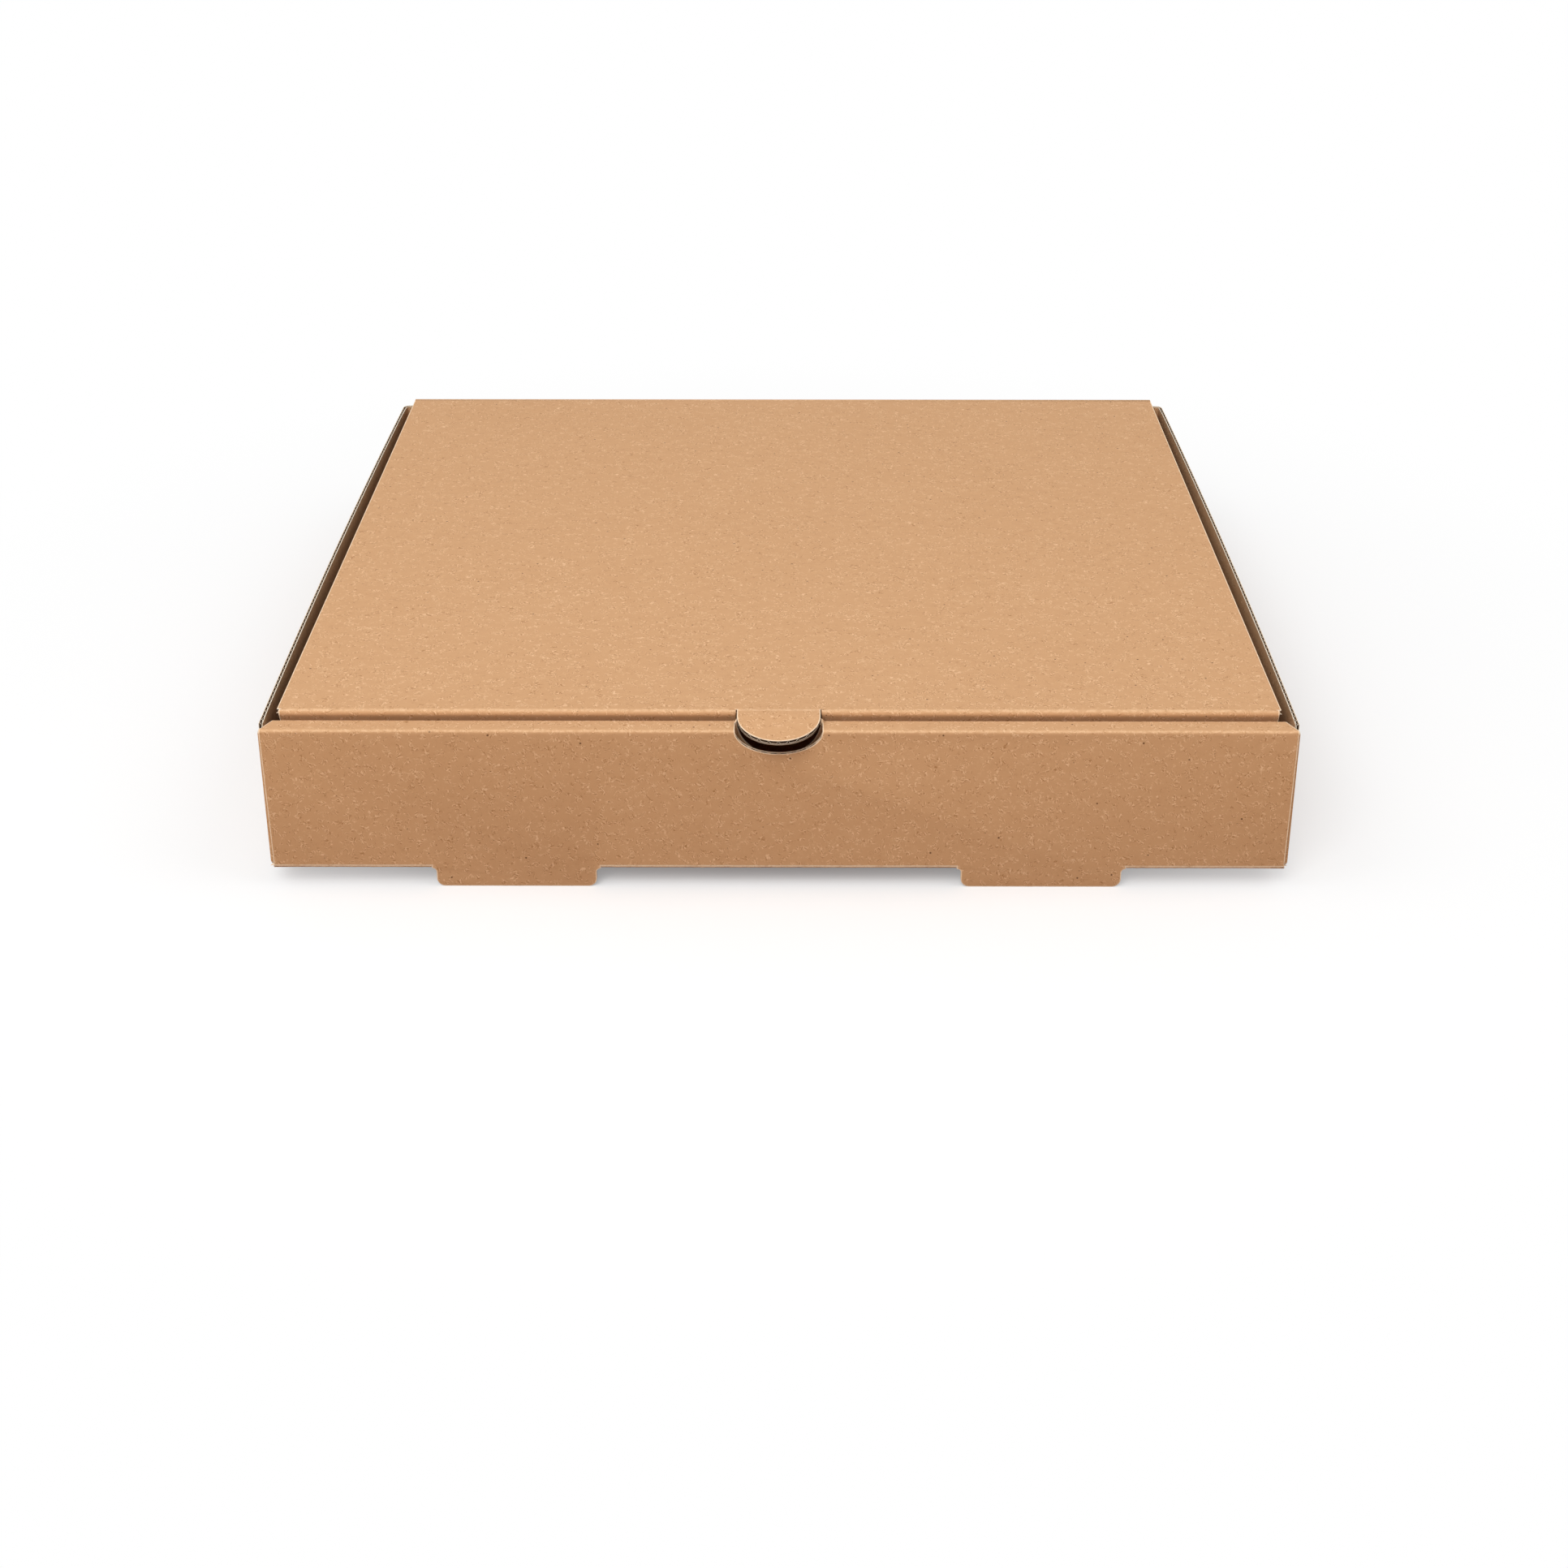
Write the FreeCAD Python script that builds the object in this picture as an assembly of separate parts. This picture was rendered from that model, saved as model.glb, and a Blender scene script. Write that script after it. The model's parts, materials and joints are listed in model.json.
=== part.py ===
import FreeCAD, Part
import math
import os

from FreeCAD import Vector

# Corrugated pizza box, folded from one blank, in millimetres.
# The front faces -Y, up is +Z, and the feet stand on z = 0.
# Until the last step y = 0 is the outer face of the front wall.

# Board
board = 1.6                # thickness of the corrugated board
fold_inside = 0.4          # inner radius of a scored fold
lid_fold_inside = 1.0      # the lid's front fold is rounder
crush_gap = 0.4            # room left between two layers of board
liner = 0.3                # each facing sheet, with the corrugated core between
flute_pitch = 3.3          # from one flute to the next
flute_open = 2.1           # length of a flute's open end along a cut edge
flute_depth = 1.5          # how deep the open ends are modelled

# Tray
tray_width = 356.0
tray_depth = 360.0
wall_height = 53.2         # underside of the bottom to the top of the front wall
foot_height = 7.0
strip_depth = 8.5          # roll-over strip on top of the front wall
strip_slant = 3.4          # how far the strip's ends slant in
wall_taper = 0.6           # front wall is this much narrower at each side below
side_bow = 1.3             # side walls bulge this much halfway along
rear_fold_inside = 1.4     # inner radius of the rear corners

# Feet and the slots that they leave in the bottom
foot_width = 56.0
foot_spacing = 183.4       # between the middles of the feet
foot_corner = 3.0
foot_fillet = 1.5          # where a foot meets the bottom fold
slot_kerf = 0.3
lock_tab_inset = 3.5       # a lock tab is this much narrower at each side

# Ears of the side walls
front_ear_length = 82.0
rear_ear_length = 70.0
ear_slant = 9.0            # an ear's free end is this much lower
ear_top_gap = 0.35         # front ears end this far under the strip
wall_step = 5.5            # side walls reach full height from here back
shoulder_drop = 7.0        # the back wall starts to narrow this far under the walls' top
shoulder_top = 2.0         # and is as narrow as the lid this far under it

# Lid
lid_width = 345.0
lid_lift = 1.2             # underside of the lid above the walls
hinge_gap = 0.3            # between the crease and the end of the lid
flap_gap = 0.3             # between the tuck flap and the inner front wall
flap_swing_gap = 0.5       # what the flap's lower edge clears as the lid opens
flap_floor_gap = 1.2       # flap's lower edge above the bottom
flap_taper = 4.0           # the flap's lower corners are cut in by this
nick_radius = 1.4          # relief at each end of the front fold

# Thumb tab and the notch under it
tab_width = 28.6
tab_length = 19.0
tab_droop = 10.0           # degrees that the tab hangs below the lid's plane
tab_kerf = 0.5
notch_gap = 0.7            # between the tab's side and the notch
notch_depth = 8.7
rim_share = 0.8            # share of a round rim that shows open flutes

# Worked out from the values above
fold = fold_inside + board
rear_fold = rear_fold_inside + board
lid_fold = lid_fold_inside + board
half_width = tray_width / 2
half_lid = lid_width / 2
half_tab = tab_width / 2
half_notch = half_tab + notch_gap
wall_top = foot_height + wall_height
floor_top = foot_height + board
above_floor = floor_top + crush_gap / 2
under_strip = wall_top - board - fold_inside
lid_under = wall_top + lid_lift
lid_top = lid_under + board
hinge_y = tray_depth - board / 2
hinge_z = lid_under + board / 2
ear_front = board + crush_gap
ear_back = tray_depth - board - crush_gap
side_start = ear_front + fold
side_end = ear_back - rear_fold
wall_foot = foot_height + fold
lid_front = strip_depth + flap_gap
flap_end = floor_top + flap_floor_gap
spill = 5.0                # how far a cutting solid runs past what it cuts


def unit(a, b):
    length = math.hypot(b[0] - a[0], b[1] - a[1])
    return ((b[0] - a[0]) / length, (b[1] - a[1]) / length)


def shifted(point, direction, distance):
    return (point[0] + direction[0] * distance, point[1] + direction[1] * distance)


def add_straight(edges, start, stop, place):
    # Nothing is added where one fold starts right where the last one ends.
    if math.dist(start, stop) > 1e-6:
        edges.append(Part.LineSegment(place(start), place(stop)).toShape())


def bent_edges(corners, radii, place):
    # Outer side of a folded sheet, walked so that the board is on the left
    # and every fold turns left. Returns the outer and the inner edges.
    outer, inner = [], []
    outer_at, inner_at = None, None
    last = len(corners) - 1
    for i in range(last):
        along = unit(corners[i], corners[i + 1])
        left = (-along[1], along[0])
        if i == 0:
            outer_at = corners[0]
            inner_at = shifted(corners[0], left, board)
        stop = corners[i + 1]
        if i + 1 < last:
            after = unit(corners[i + 1], corners[i + 2])
            turn = math.atan2(along[0] * after[1] - along[1] * after[0],
                              along[0] * after[0] + along[1] * after[1])
            radius = radii[i]
            stop = shifted(stop, along, -radius * math.tan(turn / 2))
        inner_stop = shifted(stop, left, board)
        add_straight(outer, outer_at, stop, place)
        add_straight(inner, inner_at, inner_stop, place)
        outer_at, inner_at = stop, inner_stop
        if i + 1 < last:
            centre = shifted(stop, left, radius)
            after_left = (-after[1], after[0])
            half = unit((0, 0), (left[0] + after_left[0], left[1] + after_left[1]))
            ends = []
            for edges, start, size in ((outer, outer_at, radius),
                                       (inner, inner_at, radius - board)):
                middle = shifted(centre, half, -size)
                end = shifted(centre, after_left, -size)
                edges.append(Part.Arc(place(start), place(middle), place(end)).toShape())
                ends.append(end)
            outer_at, inner_at = ends
    return outer, inner


def bent_face(corners, radii, place, round_end=False):
    # Section of a folded sheet, with a square or a half-round last end.
    outer, inner = bent_edges(corners, radii, place)
    start_cap = Part.LineSegment(inner[0].Vertexes[0].Point,
                                 outer[0].Vertexes[0].Point).toShape()
    outer_end = outer[-1].Vertexes[-1].Point
    inner_end = inner[-1].Vertexes[-1].Point
    if round_end:
        heading = (outer_end - outer[-1].Vertexes[0].Point).normalize()
        crown = (outer_end + inner_end) * 0.5 + heading * (board / 2)
        end_cap = Part.Arc(outer_end, crown, inner_end).toShape()
    else:
        end_cap = Part.LineSegment(outer_end, inner_end).toShape()
    wire = Part.Wire(Part.__sortEdges__(outer + [end_cap] + inner + [start_cap]))
    return Part.Face(wire)


def box(x, y, z):
    return Part.makeBox(x[1] - x[0], y[1] - y[0], z[1] - z[0], Vector(x[0], y[0], z[0]))


def prism(points, along):
    corners = [Vector(*p) for p in points]
    return Part.Face(Part.makePolygon(corners + corners[:1])).extrude(along)


def mirrored(shape):
    return shape.mirror(Vector(0, 0, 0), Vector(1, 0, 0))


def both_sides(shape):
    return [shape, mirrored(shape)]


def cut_both_sides(shape, tool):
    for one in both_sides(tool):
        shape = shape.cut(one)
    return shape


def tongue_face(half, length, corner, fillet):
    # Die-cut tongue in the XY plane, from its root on y = 0 to y = -length.
    # Its free corners are rounded, and it widens by the fillet at its root.
    diagonal = math.sqrt(0.5)
    wide = half + fillet
    edges = [Part.LineSegment(Vector(half - corner, -length, 0),
                              Vector(corner - half, -length, 0)).toShape(),
             Part.LineSegment(Vector(-wide, 0, 0), Vector(wide, 0, 0)).toShape()]
    for side in (1, -1):
        edges.append(Part.Arc(
            Vector(side * wide, 0, 0),
            Vector(side * (wide - fillet * diagonal), -fillet * (1 - diagonal), 0),
            Vector(side * half, -fillet, 0)).toShape())
        edges.append(Part.LineSegment(Vector(side * half, -fillet, 0),
                                      Vector(side * half, corner - length, 0)).toShape())
        edges.append(Part.Arc(
            Vector(side * half, corner - length, 0),
            Vector(side * (half - corner * (1 - diagonal)),
                   corner * (1 - diagonal) - length, 0),
            Vector(side * (half - corner), -length, 0)).toShape())
    return Part.Face(Part.Wire(Part.__sortEdges__(edges)))


def thumb_face(half, length):
    # Thumb tab in the XY plane, from y = 0: straight sides, then a half circle.
    edges = [
        Part.LineSegment(Vector(half, 0, 0), Vector(half, half - length, 0)).toShape(),
        Part.Arc(Vector(half, half - length, 0), Vector(0, -length, 0),
                 Vector(-half, half - length, 0)).toShape(),
        Part.LineSegment(Vector(-half, half - length, 0), Vector(-half, 0, 0)).toShape(),
        Part.LineSegment(Vector(-half, 0, 0), Vector(half, 0, 0)).toShape(),
    ]
    return Part.Face(Part.Wire(edges))


def upright(face, y):
    # Turns a face in the XY plane up into the XZ plane at this y.
    turned = face.copy()
    turned.rotate(Vector(0, 0, 0), Vector(1, 0, 0), 90)
    turned.translate(Vector(0, y, 0))
    return turned


def tray_spine():
    # Inner front wall, strip, outer front wall, bottom and back wall.
    corners = [(strip_depth, floor_top + crush_gap), (strip_depth, wall_top), (0, wall_top),
               (0, foot_height), (tray_depth, foot_height), (tray_depth, hinge_z)]
    face = bent_face(corners, [fold] * 4, lambda p: Vector(-half_width, p[0], p[1]), True)
    spine = face.extrude(Vector(tray_width, 0, 0))

    beyond = half_width + spill
    # The bottom ends where the side folds start.
    spine = cut_both_sides(spine, box((half_width - fold, beyond),
                                      (fold + crush_gap / 2, tray_depth - fold - crush_gap / 2),
                                      (-spill, above_floor)))
    # Slanted ends of the strip, down to just under it.
    slant_start = board / 2
    strip_cut = [(half_width, slant_start), (half_width - strip_slant, strip_depth),
                 (half_width - strip_slant, strip_depth + spill),
                 (beyond, strip_depth + spill), (beyond, slant_start)]
    spine = cut_both_sides(spine, prism([(x, y, under_strip) for x, y in strip_cut],
                                        Vector(0, 0, board + spill)))
    # The inner front wall is as wide as the strip's inner edge.
    spine = cut_both_sides(spine, box((half_width - strip_slant, beyond),
                                      (strip_depth - fold, strip_depth + spill),
                                      (above_floor, wall_top)))
    # The front wall narrows towards the bottom.
    taper_cut = [(half_width - wall_taper, -spill, foot_height - spill),
                 (half_width - wall_taper, -spill, foot_height),
                 (half_width, -spill, wall_top),
                 (beyond, -spill, wall_top), (beyond, -spill, foot_height - spill)]
    spine = cut_both_sides(spine, prism(taper_cut, Vector(0, spill + fold, 0)))
    # The back wall stays inside the side walls' faces and narrows to the lid.
    back = (tray_depth - fold, tray_depth + spill)
    back_half = half_width - wall_taper
    spine = cut_both_sides(spine, box((back_half, beyond), back, (-spill, lid_top + spill)))
    shoulder_cut = [(back_half + spill, back[0], wall_top - shoulder_drop - spill),
                    (back_half, back[0], wall_top - shoulder_drop),
                    (half_lid, back[0], wall_top - shoulder_top),
                    (half_lid, back[0], lid_top + spill),
                    (back_half + spill, back[0], lid_top + spill)]
    return cut_both_sides(spine, prism(shoulder_cut, Vector(0, fold + spill, 0)))


def with_feet(spine):
    # Each foot is cut out of the bottom and hangs on from the front wall,
    # so its slot has the same outline, and a lock tab goes down the slot.
    half_foot = foot_width / 2
    foot = upright(tongue_face(half_foot, foot_height, foot_corner, foot_fillet), 0)
    foot = foot.extrude(Vector(0, board, 0))
    half_root = half_foot + foot_fillet
    foot = foot.fuse(box((-half_root, half_root), (0, board), (0, fold)))
    slot = tongue_face(half_foot + slot_kerf, foot_height + slot_kerf, foot_corner, foot_fillet)
    slot.rotate(Vector(0, 0, 0), Vector(0, 0, 1), 180)
    slot = slot.extrude(Vector(0, 0, above_floor - foot_height + spill))
    lock_half = half_foot - lock_tab_inset
    lock_tab = box((-lock_half, lock_half), (strip_depth - board, strip_depth),
                   (foot_height, floor_top + crush_gap + board))
    for side in (-1, 1):
        middle = side * foot_spacing / 2
        slot_here = slot.copy()
        slot_here.translate(Vector(middle, board, foot_height - spill))
        foot_here = foot.copy()
        foot_here.translate(Vector(middle, 0, foot_height))
        tab_here = lock_tab.copy()
        tab_here.translate(Vector(middle, 0, 0))
        spine = spine.cut(slot_here).fuse([foot_here, tab_here])
    return spine


def flute_places(start, stop):
    # Middles of the open flute ends that fit between two points of an edge.
    count = max(0, int((stop - start) / flute_pitch))
    first = (start + stop) / 2 - (count - 1) * flute_pitch / 2
    return [first + i * flute_pitch for i in range(count)]


def flute_span(middle):
    return (middle - flute_open / 2, middle + flute_open / 2)


def notch_flutes():
    # Open flute ends in the front wall, along the lower part of the notch.
    reach = half_notch * rim_share
    ends = []
    for x in flute_places(-reach, reach):
        rim = wall_top - notch_depth * math.sqrt(1 - (x / half_notch) ** 2)
        ends.append(box(flute_span(x), (liner, board - liner), (rim - flute_depth, wall_top)))
    return ends


def thumb_notch():
    # Half-ellipse through the strip and both layers of the front wall.
    place = Vector(0, -spill, wall_top)
    ellipse = Part.Ellipse(place, half_notch, notch_depth)
    curve = ellipse.toShape()
    curve.rotate(place, Vector(1, 0, 0), 90)
    lower = Part.Face(Part.Wire(curve)).extrude(Vector(0, strip_depth + 2 * spill, 0))
    upper = box((-half_notch, half_notch), (-spill, strip_depth + spill),
                (wall_top, wall_top + spill))
    return lower.fuse(upper)


def side_wall():
    # Right-hand wall: fold to the bottom, bowed wall, and the two ears.
    quarter = bent_face([(half_width - fold, foot_height), (half_width, foot_height),
                         (half_width, wall_foot)], [fold],
                        lambda p: Vector(p[0], side_start, p[1]))
    bottom_fold = quarter.extrude(Vector(0, side_end - side_start, 0))

    wires = []
    for height, bow in ((wall_foot, 0), (wall_top, side_bow)):
        sides = []
        for x, y_from, y_to in ((half_width, side_start, side_end),
                                (half_width - board, side_end, side_start)):
            start = Vector(x, y_from, height)
            stop = Vector(x, y_to, height)
            if bow:
                middle = Vector(x + bow, (y_from + y_to) / 2, height)
                sides.append(Part.Arc(start, middle, stop).toShape())
            else:
                sides.append(Part.LineSegment(start, stop).toShape())
        ends = [Part.LineSegment(sides[i].Vertexes[-1].Point,
                                 sides[1 - i].Vertexes[0].Point).toShape() for i in (0, 1)]
        wires.append(Part.Wire([sides[0], ends[0], sides[1], ends[1]]))
    wall = Part.makeLoft(wires, True, True)
    flutes = []
    half_run = (side_end - side_start) / 2
    for y in flute_places(wall_step, side_end):
        bow = side_bow * (1 - ((y - side_start) / half_run - 1) ** 2)
        flutes.append(box((half_width - board + liner + bow, half_width - liner + bow),
                          flute_span(y), (wall_top - flute_depth, wall_top + spill)))
    wall = wall.cut(flutes)

    ears = []
    for ear_y, length, turn_y in ((ear_front, front_ear_length, side_start),
                                  (ear_back, rear_ear_length, side_end)):
        tip = (half_width - length, ear_y)
        corner = (half_width, ear_y)
        start = (half_width, turn_y)
        if ear_y < turn_y:
            corners, radius = [tip, corner, start], fold
        else:
            corners, radius = [start, corner, tip], rear_fold
        face = bent_face(corners, [radius], lambda p: Vector(p[0], p[1], wall_foot))
        ear = face.extrude(Vector(0, 0, wall_top - wall_foot))
        low = min(ear_y, turn_y) - spill
        across = max(ear_y, turn_y) + spill - low
        x_tip, x_root = half_width - length, half_width - rear_fold - ear_slant
        slants = [[(x_tip - spill, wall_top - ear_slant), (x_tip, wall_top - ear_slant),
                   (x_root, wall_top), (x_root, wall_top + spill),
                   (x_tip - spill, wall_top + spill)],
                  [(x_tip - spill, wall_foot - spill), (x_tip, wall_foot - spill),
                   (x_tip + ear_slant, wall_foot), (x_tip, wall_foot + ear_slant),
                   (x_tip - spill, wall_foot + ear_slant)]]
        for outline in slants:
            ear = ear.cut(prism([(x, low, z) for x, z in outline], Vector(0, across, 0)))
        ears.append(ear)

    whole = bottom_fold.fuse([wall] + ears)
    # In front the wall and its ear stay under the strip.
    return whole.cut(box((0, half_width + spill), (-spill, wall_step),
                         (wall_top - board - ear_top_gap, wall_top + spill)))


def make_tray():
    tray = with_feet(tray_spine()).cut([thumb_notch()] + notch_flutes())
    return tray.fuse(both_sides(side_wall())).removeSplitter()


def flap_lean():
    # The flap leans in so far that its lower edge, which swings out first,
    # clears the inner front wall when the lid opens.
    reach = hinge_y - strip_depth - flap_swing_gap
    edge = math.sqrt(reach ** 2 + (hinge_z - wall_top + fold) ** 2
                     - (hinge_z - flap_end) ** 2)
    return math.atan2(hinge_y - edge - lid_front, lid_top - flap_end)


def thumb_tab():
    # Flat, with its root on y = 0 and its upper face on z = 0.
    tab = thumb_face(half_tab, tab_length).extrude(Vector(0, 0, -board))
    flutes = []
    for x in flute_places(-half_tab * rim_share, half_tab * rim_share):
        rim = half_tab - tab_length - math.sqrt(half_tab ** 2 - x ** 2)
        flutes.append(box(flute_span(x), (-tab_length - spill, rim + flute_depth),
                          (liner - board, -liner)))
    return tab.cut(flutes)


def make_lid():
    lean = flap_lean()
    flap_foot = (lid_front + (lid_top - flap_end) * math.tan(lean), flap_end)
    corners = [(tray_depth - board - hinge_gap, lid_top), (lid_front, lid_top), flap_foot]
    face = bent_face(corners, [lid_fold], lambda p: Vector(-half_lid, p[0], p[1]))
    lid = face.extrude(Vector(lid_width, 0, 0))
    fold_line = lid_front + lid_fold * math.tan((math.pi / 2 + lean) / 2)

    # Small relief at each end of the front fold.
    nick = Part.makeCylinder(nick_radius, lid_fold + spill,
                             Vector(half_lid, lid_front + lid_fold_inside, lid_top - 2 * lid_fold))
    lid = cut_both_sides(lid, nick)
    # The flap's lower corners are cut in.
    halfway = (lid_top + flap_end) / 2
    corner_cut = [(half_lid + spill, 0, flap_end - spill),
                  (half_lid - flap_taper, 0, flap_end - spill),
                  (half_lid - flap_taper, 0, flap_end), (half_lid, 0, halfway),
                  (half_lid + spill, 0, halfway)]
    lid = cut_both_sides(lid, prism(corner_cut, Vector(0, flap_foot[0] + spill, 0)))

    # The thumb tab is cut out of the flap and stays up as the flap folds down.
    on_flap = tab_length - lid_fold * math.pi / 2
    gap = upright(thumb_face(half_tab + tab_kerf, on_flap + tab_kerf), lid_front - spill)
    gap.translate(Vector(0, 0, lid_top - lid_fold))
    gap = gap.extrude(Vector(0, flap_foot[0] - lid_front + 2 * spill, 0))
    over_fold = box((-half_tab - tab_kerf, half_tab + tab_kerf), (lid_front - spill, fold_line),
                    (lid_top - lid_fold - tab_kerf, lid_top + spill))
    tab = thumb_tab()
    tab.rotate(Vector(0, 0, 0), Vector(1, 0, 0), tab_droop)
    tab.translate(Vector(0, fold_line, lid_top))
    return lid.cut(gap).cut(over_fold).fuse(tab).removeSplitter()


def main():
    parts = {"tray": make_tray(), "lid": make_lid()}
    # The frame's origin is under the middle of the whole box, thumb tab included.
    front = min(shape.BoundBox.YMin for shape in parts.values())
    back = max(shape.BoundBox.YMax for shape in parts.values())
    os.makedirs("parts", exist_ok=True)
    for name, shape in parts.items():
        shape.translate(Vector(0, -(front + back) / 2, 0))
        shape.exportStep(f"parts/{name}.step")
        size = shape.BoundBox
        print(name, "solids", len(shape.Solids), "valid", shape.isValid(),
              "volume", round(shape.Volume), "x", round(size.XMin, 2), round(size.XMax, 2),
              "y", round(size.YMin, 2), round(size.YMax, 2),
              "z", round(size.ZMin, 2), round(size.ZMax, 2))
    print("hinge y", round(hinge_y - (front + back) / 2, 3), "z", round(hinge_z, 3),
          "flap leans", round(math.degrees(flap_lean()), 2))


main()
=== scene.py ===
import json
import math

import bmesh
import bpy
from mathutils import Matrix, Vector, geometry, noise


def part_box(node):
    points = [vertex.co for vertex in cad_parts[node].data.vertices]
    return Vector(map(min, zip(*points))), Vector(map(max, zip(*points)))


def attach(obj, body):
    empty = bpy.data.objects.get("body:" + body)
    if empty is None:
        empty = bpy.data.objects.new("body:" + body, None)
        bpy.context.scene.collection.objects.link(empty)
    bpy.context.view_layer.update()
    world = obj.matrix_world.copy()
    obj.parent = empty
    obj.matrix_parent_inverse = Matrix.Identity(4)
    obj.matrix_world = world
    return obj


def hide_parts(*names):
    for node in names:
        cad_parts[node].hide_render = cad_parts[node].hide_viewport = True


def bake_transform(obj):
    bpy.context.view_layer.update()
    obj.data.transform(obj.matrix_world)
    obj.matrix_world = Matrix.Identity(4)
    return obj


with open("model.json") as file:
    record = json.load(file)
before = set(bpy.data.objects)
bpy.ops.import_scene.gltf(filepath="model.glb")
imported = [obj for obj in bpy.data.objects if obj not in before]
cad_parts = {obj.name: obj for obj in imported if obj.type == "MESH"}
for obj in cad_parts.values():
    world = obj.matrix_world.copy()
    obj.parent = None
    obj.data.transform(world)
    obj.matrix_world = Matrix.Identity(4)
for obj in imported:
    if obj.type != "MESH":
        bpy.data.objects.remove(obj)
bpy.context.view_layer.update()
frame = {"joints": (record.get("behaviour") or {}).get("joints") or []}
mm = 0.001
print("frame loaded")


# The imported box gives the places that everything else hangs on.
trayLow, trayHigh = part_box("tray")
lidLow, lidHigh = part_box("lid")
hinge = Vector(frame["joints"][0]["pos_m"])
frontY = trayLow.y    # outer face of the front wall

board = {
    "thickness": 1.6,      # all of these in millimetres
    "liner": 0.22,         # paper on either side of the fluted core
    "core": 0.16,          # paper that the flutes are made of
    "flutePitch": 3.3,
    "peakSharpness": 4.5,  # how narrow the flutes are where they touch the outer paper
    "cutBandAndHighlight": 0.34,       # pale band along every cut edge: pressed, torn fibre with a painted highlight
    "cutSink": 0.07,       # and how far the knife has pressed it down
    "bandLength": 6.0,     # how deep the flutes are modelled from an edge
    "foldSteps": 8,
    "foldSupport": 0.7,    # a row of the mesh this close to each fold
}

tray = {
    "sideBow": 1.3,
    "fold": 1.1,           # outer radius
    "stripFold": 1.1,
    "stripInnerFold": 0.6,
    "frontInset": 1.0,     # the side walls' corners stand this far past the front wall
    "wallPinch": 0.30,     # the knife has left the side walls' upper edge this much thinner
    "rearFold": 3.0,
    "wallTop": 60.2,
    "footHeight": 7.0,
    "stripDepth": 8.5,
    "stripSlant": 3.4,
    "slantStart": 0.8,
    "wallTaper": 0.6,
    "foldWave": 0.05,      # flutes crushed in a fold leave it this uneven
    "footWidth": 56.0,
    "footSpacing": 183.4,
    "footCorner": 3.0,
    "footFillet": 1.5,
    "slotKerf": 0.3,
    "slotCorner": 2.5,
    "lockTabInset": 3.5,
    "frontEar": 82.0,
    "rearEar": 70.0,
    "earSlant": 9.0,
    "frontEarTop": 58.25,
    "wallStep": 5.5,
    "crush": 0.4,
    "shoulderDrop": 7.0,
    "shoulderTop": 2.0,
    "notchHalf": 15.0,
    "notchDepth": 8.7,
    "innerNotch": 13.5,    # the inner layer is cut deeper, with rounded corners
    "innerTurn": 8.1,
    "sideRows": 36,        # rows of the mesh along the side wall
    "wallRows": (22.0, 38.0),    # and heights of the rows up the walls
}

lid = {
    "columns": 202,        # rows of the mesh across the lid, clear of the tab's corners
    "fold": 1.5,
    "foldWave": 0.07,
    "front": 9.4,
    "nose": 2.0,           # the flap turns in this far under the fold
    "noseDrop": 4.5,
    "flapFoot": 12.92,
    "flapTaper": 4.0,
    "foldInset": 0.7,      # the fold is this much shorter at either end
    "tabHalf": 14.3,
    "tabLength": 18.9,
    "tabKerf": 0.4,
    "tabSwell": 0.45,      # thumbs have puffed the tab's tip up this much
    "tabPeaks": 9.0,
    "gapCentre": 59.8,     # height of the middle of the round gap it leaves
    "tabDroop": 11.8,      # degrees that the tab has turned down at its tip
    "tabBend": 6.0,        # length over which it turns
    "topRows": 14,
}

wallTop = tray["wallTop"]
thickness = board["thickness"]
halfTray = trayHigh.x / mm - tray["sideBow"]
trayDepth = (trayHigh.y - frontY) / mm
halfLid = lidHigh.x / mm
trayColumns = round(2 * halfTray / (board["flutePitch"] / 2))    # two rows of the mesh to a flute
lidTop = lidHigh.z / mm
flapEnd = lidLow.z / mm
hingeY = (hinge.y - frontY) / mm
hingeZ = hinge.z / mm
creaseReach = 2.6          # the crease strip runs this far from the hinge's axis
almost = 0.9999            # share of a fold's radius where the fold starts right at the wire's end
wallFoot = tray["footHeight"] + tray["fold"]
earFront = thickness + tray["crush"]
earBack = trayDepth - thickness - tray["crush"]
halfFront = halfTray - tray["frontInset"]
sideStart = earFront + tray["fold"]
sideEnd = earBack - tray["rearFold"]


def at(x, y, z):
    # Millimetres from the front wall's outer face, as a point of the frame.
    return Vector((x * mm, y * mm + frontY, z * mm))


def local(point):
    return point.x / mm, (point.y - frontY) / mm, point.z / mm


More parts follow.
